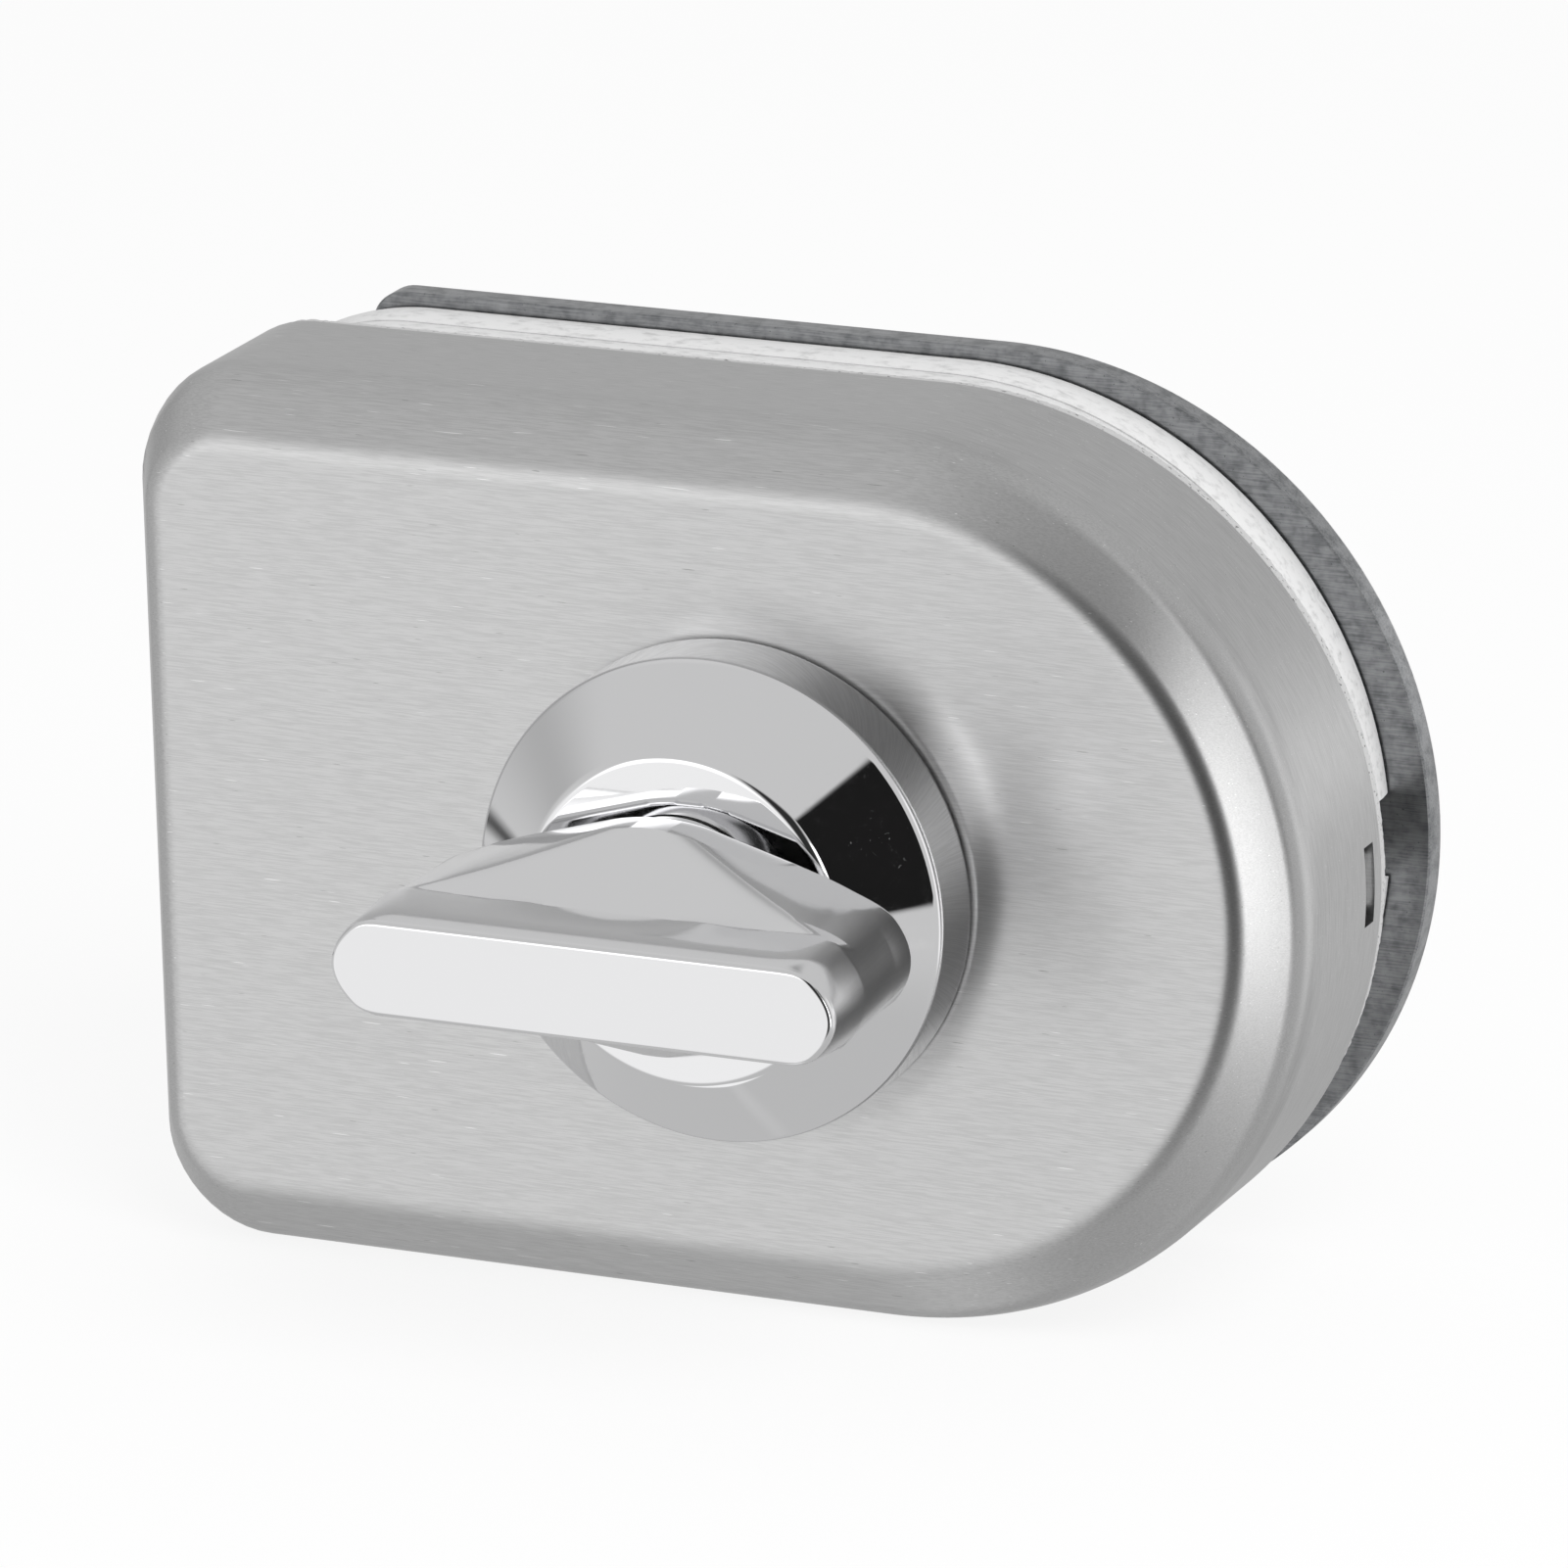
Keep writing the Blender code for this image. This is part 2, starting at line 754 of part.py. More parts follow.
def build_deadbolt(material, parent):
    """Flat bolt: chamfered nose, slot for the stop pin, and a window with the rack."""
    nose = bolt_nose_recess
    chamfer = bolt_nose_chamfer
    low = bolt_front + chamfer
    high = bolt_rear - chamfer
    side = [
        (nose, low), (nose, high), (nose + chamfer, bolt_rear), (bolt_end, bolt_rear),
        (bolt_end, bolt_front), (nose + chamfer, bolt_front),
    ]
    item = to_object("deadbolt", extrude_across(side, -bolt_half_height, bolt_half_height))
    past = 2 * bolt_rear
    slot_right = stop_pin_x + bolt_throw + pin_hole_radius
    slot = rectangle(stop_pin_x - pin_hole_radius, slot_right, -pin_hole_radius, pin_hole_radius,
                     pin_hole_radius - edge_break)
    cut(item, extrude(rack_window(), 0.0, past), extrude(slot, 0.0, past))
    return finish(item, material, parent, 25)


def build_bush(name, front, rear, material, parent):
    """Bronze bush for one of the pinion's journals."""
    mesh = turned_ring(bush_inner_radius, bush_outer_radius, front, rear, turn_x, 0.0, small_turned_steps)
    return finish(to_object(name, mesh), material, parent)


def build_stop_pin(material, parent):
    """Pin between lid and base that ends the bolt's travel at both ends of its slot."""
    edge = edge_break
    front = lid_front + seat_gap
    rear = base_rear - seat_gap
    profile = [
        (stop_pin_radius - edge, front), (stop_pin_radius, front + edge),
        (stop_pin_radius, rear - edge), (stop_pin_radius - edge, rear),
    ]
    mesh = turned(profile, stop_pin_x, 0.0, small_turned_steps)
    return finish(to_object("stop_pin", mesh), material, parent)


def build_bolt_guide(material, parent):
    """Nylon saddle that the bolt slides through behind the flat end."""
    outer = channel_half_height + guide_wall
    item = to_object("bolt_guide", block(guide_start, guide_start + guide_length, lid_rear - guide_wall,
                                         base_front - seat_gap, -outer, outer))
    cut(item, block(-guide_length, 2 * guide_length + guide_start, lid_rear, 2 * base_rear,
                    -channel_half_height, channel_half_height))
    return finish(item, material, parent)


# Base, lid and springs

def build_lock_base(material, parent):
    """Cast base: floor, locating lip, bolt channel with its spring pocket, and screw bosses."""
    item = to_object("lock_base", extrude(inset_d_outline(cover_inside), base_front, base_rear))
    lip_front = base_front - base_lip_height
    into_floor = base_front + base_floor / 2
    lip = to_object("lip", extrude(inset_d_outline(cover_inside), lip_front, into_floor))
    cut(lip, extrude(inset_d_outline(cover_inside + base_lip_wall), 0.0, 2 * base_rear))
    lip_mesh = bmesh.new()
    lip_mesh.from_mesh(lip.data)
    bpy.data.objects.remove(lip, do_unlink=True)
    wall_front = lid_rear + seat_gap
    inner = channel_half_height
    outer = inner + channel_wall
    pocket = inner + spring_pocket_depth
    pocket_left = turn_x - spring_span / 2 - channel_wall
    pocket_right = turn_x + spring_span / 2 + channel_wall
    walls = [
        block(channel_start, channel_end, wall_front, into_floor, inner, outer),
        block(channel_start, channel_end, wall_front, into_floor, -outer, -inner),
        block(pocket_left, pocket_right, wall_front, into_floor, -pocket - channel_wall / 2, -inner),
    ]
    bosses = [disc(x, z, lid_boss_radius, wall_front, into_floor) for x, z in lid_screws]
    bosses += [disc(x, z, clamp_boss_radius, clamp_boss_front, into_floor) for x, z in clamp_screws]
    fuse(item, lip_mesh, *walls, *bosses)
    margin = spring_sheet
    holes = [disc(x, z, small_hole_radius, 0.0, 2 * base_rear) for x, z in lid_screws]
    holes += [disc(x, z, clamp_screw_radius + screw_gap, 0.0, 2 * base_rear) for x, z in clamp_screws]
    catch_x = catch_screw_place()
    guide_outer = channel_half_height + guide_wall + seat_gap
    catch_half = catch_height / 2 + catch_sheet
    cut(
        item,
        block(turn_x - spring_span / 2 - margin, turn_x + spring_span / 2 + margin, 0.0, base_front,
              -pocket, -inner + margin),
        block(-cover_inside, channel_start, 0.0, base_front, -guide_outer, guide_outer),
        block(body_length - corner_radius, 2 * body_length, 0.0, base_front, -catch_half, catch_half),
        disc(turn_x, 0.0, bush_seat_radius, 0.0, 2 * base_rear),
        disc(stop_pin_x, 0.0, pin_hole_radius, 0.0, 2 * base_rear),
        disc(catch_x, 0.0, small_hole_radius, 0.0, 2 * base_rear),
        *holes,
    )
    return finish(item, material, parent)


def build_case_lid(material, parent):
    """Steel lid screwed over the bolt's channel."""
    outline = rectangle(channel_start, channel_end, -lid_half_height, lid_half_height, lid_corner)
    item = to_object("case_lid", extrude(outline, lid_front, lid_rear))
    holes = [disc(x, z, small_hole_radius, 0.0, base_rear) for x, z in lid_screws]
    cut(
        item,
        disc(turn_x, 0.0, bush_seat_radius, 0.0, base_rear),
        disc(stop_pin_x, 0.0, pin_hole_radius, 0.0, base_rear),
        *holes,
    )
    return finish(item, material, parent)


def build_friction_spring(material, parent):
    """Bowed leaf that bears on the bolt's lower edge and rests on the pocket's floor."""
    crest = -channel_half_height - spring_sheet / 2
    foot = -channel_half_height - spring_pocket_depth + seat_gap + spring_sheet / 2
    half_span = spring_span / 2 - seat_gap
    rise = crest - foot
    radius = (half_span ** 2 + rise ** 2) / (2 * rise)
    reach = math.asin(half_span / radius)
    centre_z = crest - radius
    start = math.pi / 2 + reach
    end = math.pi / 2 - reach
    outline = arc_points(turn_x, centre_z, radius + spring_sheet / 2, start, end, 4 * corner_steps)
    outline += arc_points(turn_x, centre_z, radius - spring_sheet / 2, end, start, 4 * corner_steps)
    front = bolt_front + (bolt_thickness - spring_width) / 2
    return finish(to_object("friction_spring", extrude(outline, front, front + spring_width)),
                  material, parent)


def catch_screw_place():
    """Where the catch's screw stands, between the right clamp boss and the catch's upright."""
    return clamp_screw_right_x + clamp_boss_radius + small_head_radius + seat_gap * 2


def build_cover_catch(material, parent):
    """Spring catch: a foot on the base's floor, an upright, and a nose in the cover's slot."""
    foot_rear = base_front - seat_gap
    foot_front = foot_rear - catch_sheet
    foot_left = clamp_screw_right_x + clamp_boss_radius + seat_gap
    upright_right = body_length - cover_sheet - catch_wall_gap
    upright_left = upright_right - catch_sheet
    profile = [
        (foot_left, foot_rear), (upright_right, foot_rear),
        (upright_right, foot_rear - catch_reach_forward), (upright_left, foot_rear - catch_reach_forward),
        (upright_left, foot_front), (foot_left, foot_front),
    ]
    item = to_object("cover_catch", extrude_across(profile, -catch_height / 2, catch_height / 2))
    slot_middle = cover_depth - catch_slot_from_rim - catch_slot_depth / 2
    nose_tip = body_length - cover_sheet / 2
    nose_front = slot_middle - catch_nose_depth / 2
    nose_rear = slot_middle + catch_nose_depth / 2
    nose = [
        (upright_left, nose_rear), (nose_tip - cover_sheet / 4, nose_rear), (nose_tip, slot_middle),
        (nose_tip - cover_sheet / 2, nose_front), (upright_left, nose_front),
    ]
    fuse(item, extrude_across(nose, -catch_nose_height / 2, catch_nose_height / 2))
    cut(item, disc(catch_screw_place(), 0.0, small_hole_radius, 0.0, 2 * base_rear))
    return finish(item, material, parent)


# Gaskets, rear plate and screws

def build_gasket(name, front, material, parent):
    """Soft gasket with sleeve holes and the notch at its round end."""
    right = body_length - gasket_end_inset
    outline = d_outline(gasket_left, right, body_height / 2 - gasket_inset, gasket_corner)
    item = to_object(name, extrude(outline, front, front + gasket_thickness))
    holes = [disc(x, z, gasket_hole_radius, 0.0, 2 * plate_rear) for x, z in clamp_screws]
    notch = block(right - notch_depth, body_length, 0.0, 2 * plate_rear, -notch_height / 2, notch_height / 2)
    cut(item, notch, *holes)
    return finish(item, material, parent)


def build_rear_plate(material, parent):
    """Flat plate on the far side of the glass, countersunk for the clamp screws."""
    chamfer = plate_edge_chamfer

    def outline(inset):
        return d_outline(plate_left + inset, body_length - inset, body_height / 2 - inset, plate_corner)

    item = to_object("rear_plate", loft([
        (outline(chamfer), plate_front),
        (outline(0.0), plate_front + chamfer),
        (outline(0.0), plate_rear - chamfer),
        (outline(chamfer), plate_rear),
    ]))
    hole_radius = clamp_screw_radius + screw_gap
    mouth_radius = clamp_head_radius + screw_gap + clamp_head_recess
    sinks = []
    for x, z in clamp_screws:
        profile = [
            (hole_radius, plate_front - plate_thickness),
            (hole_radius, plate_rear - (mouth_radius - hole_radius)),
            (mouth_radius, plate_rear),
            (mouth_radius, plate_rear + plate_thickness),
        ]
        sinks.append(turned(profile, x, z, small_turned_steps))
    cut(item, *sinks)
    return finish(item, material, parent)


def build_clamp_screw(number, x, z, material, parent):
    """Countersunk socket screw from the rear plate into a boss of the base."""
    edge = edge_break
    profile = [
        (clamp_screw_radius - edge, clamp_boss_front),
        (clamp_screw_radius, clamp_boss_front + edge),
        (clamp_screw_radius, clamp_head_y - clamp_head_height),
        (clamp_head_radius, clamp_head_y),
    ]
    item = to_object(f"clamp_screw_{number}", turned(profile, x, z, small_turned_steps))
    key_corner = clamp_key_width / math.sqrt(3)
    cut(item, disc(x, z, key_corner, clamp_head_y - clamp_key_depth, 2 * plate_rear, 6))
    return finish(item, material, parent)


def build_clamp_sleeve(number, x, z, material, parent):
    """Nylon sleeve that keeps a clamp screw off the glass."""
    mesh = turned_ring(sleeve_inner, sleeve_outer, front_gasket_y, rear_gasket_y + gasket_thickness,
                       x, z, small_turned_steps)
    return finish(to_object(f"clamp_sleeve_{number}", mesh), material, parent)


def build_small_screw(name, x, z, seat, end, material, parent):
    """Cross-recessed screw whose head bears on a face at the seat's depth."""
    under = seat - seat_gap
    top = under - small_head_height
    dome = small_head_height / 3
    profile = [
        (small_head_radius - dome, top),
        (small_head_radius, top + dome),
        (small_head_radius, under),
        (small_screw_radius, under),
        (small_screw_radius, end - edge_break),
        (small_screw_radius - edge_break, end),
    ]
    item = to_object(name, turned(profile, x, z, small_turned_steps))
    half_width = cross_width / 2
    half_length = cross_length / 2
    recess = top + cross_depth
    cut(
        item,
        block(x - half_length, x + half_length, 0.0, recess, z - half_width, z + half_width),
        block(x - half_width, x + half_width, 0.0, recess, z - half_length, z + half_length),
    )
    return finish(item, material, parent)


def build_lock():
    """Build every piece of the lock."""
    clear_scene()
    brushed_steel = make_material("brushed_stainless", (0.62, 0.62, 0.61), 1.0, 0.34)
    chrome = make_material("polished_chrome", (0.74, 0.74, 0.75), 1.0, 0.06)
    plate_steel = make_material("plate_stainless", (0.42, 0.42, 0.42), 1.0, 0.30)
    casting = make_material("cast_alloy", (0.48, 0.48, 0.49), 1.0, 0.55)
    spring_steel = make_material("spring_steel", (0.55, 0.55, 0.56), 1.0, 0.28)
    bronze = make_material("sintered_bronze", (0.55, 0.36, 0.18), 1.0, 0.45)
    nylon = make_material("white_nylon", (0.80, 0.80, 0.78), 0.0, 0.45)
    silicone = make_material("white_silicone", (0.86, 0.86, 0.85), 0.0, 0.60)

    frame = make_empty("lock_frame", frame_place)
    turn_axis = make_empty("turn_axis", turn_axis_place, frame)
    bpy.context.view_layer.update()

    build_front_cover(brushed_steel, frame)
    build_rosette(chrome, frame)
    build_turn_bush(nylon, frame)
    build_rosette_washer(spring_steel, frame)
    build_rosette_nut(spring_steel, frame)

    build_thumb_turn(chrome, turn_axis)
    build_retaining_ring(spring_steel, turn_axis)
    build_spindle(plate_steel, turn_axis)
    build_pinion(plate_steel, turn_axis)
    build_deadbolt(plate_steel, frame)

    build_lock_base(casting, frame)
    build_case_lid(plate_steel, frame)
    build_bush("pinion_bush_front", lid_front, lid_rear, bronze, frame)
    build_bush("pinion_bush_rear", base_front, base_rear, bronze, frame)
    build_stop_pin(spring_steel, frame)
    build_bolt_guide(nylon, frame)
    build_friction_spring(spring_steel, frame)
    build_cover_catch(spring_steel, frame)
    catch_seat = base_front - seat_gap - catch_sheet
    build_small_screw("catch_screw", catch_screw_place(), 0.0, catch_seat, base_rear - seat_gap,
                      spring_steel, frame)
    lid_screw_end = lid_front + lid_screw_length
    for number, (x, z) in enumerate(lid_screws, start=1):
        build_small_screw(f"lid_screw_{number}", x, z, lid_front, lid_screw_end, spring_steel, frame)

    build_gasket("gasket_front", front_gasket_y, silicone, frame)
    build_gasket("gasket_rear", rear_gasket_y, silicone, frame)
    build_rear_plate(plate_steel, frame)
    for number, (x, z) in enumerate(clamp_screws, start=1):
        build_clamp_screw(number, x, z, spring_steel, frame)
        build_clamp_sleeve(number, x, z, nylon, frame)


build_lock()
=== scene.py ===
"""Looks of a thumb-turn lock for a frameless glass door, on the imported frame.

Lengths are in metres, and the frame is the part's own: the lock stands on its flat lower edge,
the thumb turn points to -Y and the bolt's end to -X. Inside the classes a place is given from the
cover: x from its flat end, y from its face towards the glass, z from mid height.
"""

from __future__ import annotations

import logging
import math
import random
from dataclasses import dataclass
from enum import Enum

import bmesh
import bpy
from mathutils import Matrix, Vector

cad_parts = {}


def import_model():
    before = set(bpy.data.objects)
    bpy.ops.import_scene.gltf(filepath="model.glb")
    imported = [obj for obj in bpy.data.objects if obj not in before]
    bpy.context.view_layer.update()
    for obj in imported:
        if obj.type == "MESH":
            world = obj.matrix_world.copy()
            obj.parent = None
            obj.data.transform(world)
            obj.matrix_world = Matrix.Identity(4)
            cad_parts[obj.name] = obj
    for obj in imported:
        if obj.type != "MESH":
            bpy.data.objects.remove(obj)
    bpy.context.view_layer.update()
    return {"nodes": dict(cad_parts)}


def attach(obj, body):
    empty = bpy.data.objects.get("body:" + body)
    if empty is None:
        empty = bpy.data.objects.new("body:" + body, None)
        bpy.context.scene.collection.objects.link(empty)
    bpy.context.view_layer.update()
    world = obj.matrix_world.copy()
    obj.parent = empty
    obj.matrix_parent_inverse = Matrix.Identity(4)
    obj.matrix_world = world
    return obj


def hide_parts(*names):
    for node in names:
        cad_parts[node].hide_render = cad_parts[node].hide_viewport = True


log = logging.getLogger("glass_door_lock")

Point = tuple[float, float]
Triple = tuple[float, float, float]
Level = tuple[list[Point], float]
Tree = bpy.types.NodeTree
Node = bpy.types.Node
Socket = bpy.types.NodeSocket
Item = bpy.types.Object
Material = bpy.types.Material


class Body(Enum):
    """The bodies that pieces ride on."""

    LOCK = "body"
    TURN = "turn"
    BOLT = "bolt"


class Line(Enum):
    """The way that a brushed surface's lines run."""

    ALONG_X = "along x"
    ROUND_THE_RIM = "round the rim"


def linear(hex_colour: str) -> tuple[float, float, float, float]:
    """Turn an sRGB colour into the linear one that Blender's sockets take.

    Args:
        hex_colour: Six hex digits.

    Returns:
        Linear red, green and blue with a full alpha.
    """
    channels = [int(hex_colour[start:start + 2], 16) / 255 for start in (0, 2, 4)]
    values = [c / 12.92 if c <= 0.04045 else ((c + 0.055) / 1.055) ** 2.4 for c in channels]
    return values[0], values[1], values[2], 1.0


def add_node(tree: Tree, kind: str, links: dict | None = None, **settings: str) -> Node:
    """Add a node with its settings and its inputs.

    Args:
        tree: The tree that gets the node.
        kind: The node's type.
        links: Input name or number to a socket that feeds it, or to a plain value.
        settings: Properties of the node.

    Returns:
        The new node.
    """
    node = tree.nodes.new(kind)
    for name, value in settings.items():
        setattr(node, name, value)
    for name, value in (links or {}).items():
        if isinstance(value, Socket):
            tree.links.new(value, node.inputs[name])
        else:
            node.inputs[name].default_value = value
    return node


def new_object(name: str, mesh: bmesh.types.BMesh) -> Item:
    """Turn a built mesh into an object at the origin.

    Args:
        name: The object's name.
        mesh: The mesh, which is freed.

    Returns:
        The object, linked to the scene.
    """
    bmesh.ops.recalc_face_normals(mesh, faces=mesh.faces)
    data = bpy.data.meshes.new(name)
    mesh.to_mesh(data)
    mesh.free()
    item = bpy.data.objects.new(name, data)
    bpy.context.collection.objects.link(item)
    return item


def bake(item: Item) -> None:
    """Turn an object's modifiers into plain mesh.

    Args:
        item: The object, which keeps its name.
    """
    graph = bpy.context.evaluated_depsgraph_get()
    result = bpy.data.meshes.new_from_object(item.evaluated_get(graph))
    item.modifiers.clear()
    item.data = result


def cut(item: Item, *tools: Item) -> None:
    """Cut tools out of an object and remove them.

    Args:
        item: The object that is cut.
        tools: Closed meshes.
    """
    for tool in tools:
        modifier = item.modifiers.new(tool.name, "BOOLEAN")
        modifier.operation = "DIFFERENCE"
        modifier.object = tool
    bake(item)
    for tool in tools:
        bpy.data.objects.remove(tool, do_unlink=True)


def arc(centre: Point, radius: float, start: float, end: float, steps: int) -> list[Point]:
    """Points along an arc, both ends included.

    Args:
        centre: The arc's centre.
        radius: Its radius.
        start: Where it starts, in radians.
        end: Where it ends, in radians.
        steps: How many chords it has.

    Returns:
        The points.
    """
    angles = [start + (end - start) * step / steps for step in range(steps + 1)]
    return [(centre[0] + radius * math.cos(a), centre[1] + radius * math.sin(a)) for a in angles]


def loft(name: str, levels: list[Level], closed: bool = False) -> Item:
    """Join rings of equal size into one closed mesh.

    Args:
        name: The object's name.
        levels: Outlines in the plane of the cover's face, each with its depth.
        closed: Whether the last ring is joined to the first instead of both being capped.

    Returns:
        The object.
    """
    mesh = bmesh.new()
    rings = [[mesh.verts.new((x, depth, z)) for x, z in outline] for outline, depth in levels]
    pairs = list(zip(rings, rings[1:]))
    if closed:
        pairs.append((rings[-1], rings[0]))
    else:
        mesh.faces.new(rings[0])
        mesh.faces.new(reversed(rings[-1]))
    for near, far in pairs:
        for index, vertex in enumerate(near):
            following = (index + 1) % len(near)
            mesh.faces.new((near[following], vertex, far[index], far[following]))
    return new_object(name, mesh)


def blend(here: Point, there: Point, share: float) -> Point:
    """The point that lies a share of the way from one point to another."""
    return here[0] + (there[0] - here[0]) * share, here[1] + (there[1] - here[1]) * share


def d_outline(
    left: float, inset: float, corner: float, round_steps: int, corner_steps: int
) -> list[Point]:
    """The lock's D-shaped outline.

    Args:
        left: How far the flat end stands in.
        inset: How far the rest stands in.
        corner: Radius of the two corners.
        round_steps: How many chords the round end has.
        corner_steps: How many chords a corner has.

    Returns:
        Its points, from the upper left corner round to the lower left one.
    """
    half = SIZES.height / 2
    high = half - inset
    points = arc((left + corner, high - corner), corner, math.pi, math.pi / 2, corner_steps)
    points += arc((SIZES.length - half, 0.0), high, math.pi / 2, -math.pi / 2, round_steps)
    points += arc((left + corner, corner - high), corner, -math.pi / 2, -math.pi, corner_steps)
    return points


def circle(centre: Point, radius: float, steps: int) -> list[Point]:
    """Points of a full circle that has the given number of sides."""
    return arc(centre, radius, 2 * math.pi, 2 * math.pi / steps, steps - 1)


def rod(name: str, centre: Point, radius: float, steps: int, ends: Point) -> Item:
    """A plain prism for cutting, along Y between two depths."""
    return loft(name, [(circle(centre, radius, steps), depth) for depth in ends])


def box(name: str, low: Triple, high: Triple) -> Item:
    """A plain block for cutting, from its lowest to its highest corner."""
    outline = [(low[0], low[2]), (low[0], high[2]), (high[0], high[2]), (high[0], low[2])]
    return loft(name, [(outline, low[1]), (outline, high[1])])


def basis(azimuth: float, elevation: float, roll: float) -> tuple[Vector, Vector, Vector]:
    """Axes of what is seen in a given direction.

    Args:
        azimuth: Degrees from -Y towards +X.
        elevation: Degrees upwards.
        roll: Degrees that its upper end leans left.

    Returns:
        The direction, the right and the up.
    """
    turn, lift, lean = (math.radians(angle) for angle in (azimuth, elevation, roll))
    towards = Vector((
        math.sin(turn) * math.cos(lift),
        -math.cos(turn) * math.cos(lift),
        math.sin(lift),
    ))
    right = Vector((math.cos(turn), math.sin(turn), 0.0))
    up = towards.cross(right)
    return (
        towards,
        right * math.cos(lean) + up * math.sin(lean),
        up * math.cos(lean) - right * math.sin(lean),
    )


@dataclass(frozen=True)
class LockSizes:
    """Sizes that several pieces share, as the solids have them."""

    length: float = 0.0978
    height: float = 0.0720
    turn_x: float = 0.0518
    turn_reach: float = 0.0295
    plate_rear: float = 0.0301
    screws: tuple[Point, ...] = ((0.0220, 0.0265), (0.0220, -0.0265), (0.0830, 0.0))

    @property
    def place(self) -> Vector:
        """Where the cover's own corner stands in the frame."""
        return Vector((-self.length / 2, (self.turn_reach - self.plate_rear) / 2, self.height / 2))


SIZES = LockSizes()


def settle(
    item: Item, finish: Finish, body: Body, nodes: tuple[str, ...], smooth: float = 30
) -> None:
    """Bring a built piece into the frame, dress it and let it stand for the solids.

    Args:
        item: The piece, measured from the cover.
        finish: What it is made of.
        body: The body that it rides on.
        nodes: The solids that it stands for.
        smooth: The largest angle that is shaded smooth, in degrees.
    """
    item.data.transform(Matrix.Translation(SIZES.place))
    item.data.shade_smooth()
    item.data.set_sharp_from_angle(angle=math.radians(smooth))
    item.data.materials.clear()
    item.data.materials.append(finish.material())
    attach(item, body.value)
    if nodes:
        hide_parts(*nodes)
    log.info("%s stands for %s", item.name, ", ".join(nodes) or "no solid of its own")


def band(
    tree: Tree, value: Socket, low: float, high: float, to: Point = (0.0, 1.0)
) -> Socket:
    """Ease a value from one range to another.

    Args:
        tree: The tree that gets the node.
        value: The value that is read.
        low: Where the result starts to rise.
        high: Where it ends.
        to: The result's own range.

    Returns:
        The eased value.
    """
    links = {"Value": value, "From Min": low, "From Max": high, "To Min": to[0], "To Max": to[1]}
    node = add_node(tree, "ShaderNodeMapRange", links, interpolation_type="SMOOTHSTEP")
    return node.outputs["Result"]


@dataclass(frozen=True)
class Paint:
    """A material's tree and shader, with the steps that its patterns are made of."""

    tree: Tree
    shader: Node

    def noise(self, size_mm: float | Triple, detail: float) -> Socket:
        """Noise whose grains have a real size.

        Args:
            size_mm: The grain's size, or its sizes along X, Y and Z where it is drawn out.
            detail: How many finer layers it has.

        Returns:
            The noise's value.
        """
        sizes = (size_mm,) * 3 if isinstance(size_mm, float) else size_mm
        links = {
            0: add_node(self.tree, "ShaderNodeTexCoord").outputs["Object"],
            1: tuple(1000 / size for size in sizes),
        }
        scaled = add_node(self.tree, "ShaderNodeVectorMath", links, operation="MULTIPLY")
        links = {"Vector": scaled.outputs[0], "Scale": 1.0, "Detail": detail, "Roughness": 0.6}
        return add_node(self.tree, "ShaderNodeTexNoise", links).outputs["Fac"]

    def marks(
        self,
        size_mm: float | Triple,
        detail: float,
        low: float,
        high: float,
        to: Point = (0.0, 1.0),
    ) -> Socket:
        """Noise that is eased to marks with soft edges.

        Args:
            size_mm: The marks' size, as noise() takes it.
            detail: How many finer layers they have.
            low: Where a mark starts in the noise.
            high: Where it is whole.
            to: The result outside and inside a mark.

        Returns:
            The marks' value.
        """
        return band(self.tree, self.noise(size_mm, detail), low, high, to)

    def tint(self, mask: Socket, colour: str) -> None:
        """Mix a colour in by a mask, over what is mixed already.

        Args:
            mask: Zero where the present colour stays.
            colour: The colour, in hex.
        """
        base = self.shader.inputs["Base Color"]
        before = base.links[0].from_socket if base.is_linked else tuple(base.default_value)
        links = {0: mask, 6: before, 7: linear(colour)}
        mix = add_node(self.tree, "ShaderNodeMix", links, data_type="RGBA")
        self.tree.links.new(mix.outputs[2], base)

    def relief(self, height: Socket, depth_mm: float) -> None:
        """Raise the surface by a pattern.

        Args:
            height: The pattern.
            depth_mm: How far one unit of it rises.
        """
        links = {"Height": height, "Distance": depth_mm / 1000, "Strength": 1.0}
        bump = add_node(self.tree, "ShaderNodeBump", links)
        self.tree.links.new(bump.outputs["Normal"], self.shader.inputs["Normal"])


@dataclass(frozen=True)
class Finish:
    """A finish with one Principled shader."""

    name: str
    slot: str
    colour: str
    metallic: float
    roughness: float

    def material(self) -> Material:
        """Build the finish's material, or find it where it is built already.

        Returns:
            The material.
        """
        known = bpy.data.materials.get(self.name)
        if known:
            return known
        material = bpy.data.materials.new(self.name)
        material.use_nodes = True
        shader = material.node_tree.nodes["Principled BSDF"]
        shader.inputs["Metallic"].default_value = self.metallic
        shader.inputs["Roughness"].default_value = self.roughness
        shader.inputs["Base Color"].default_value = linear(self.colour)
        self.pattern(Paint(material.node_tree, shader))
        return material

    def pattern(self, paint: Paint) -> None:
        """Add what the finish gives the eye; a plain finish adds nothing."""


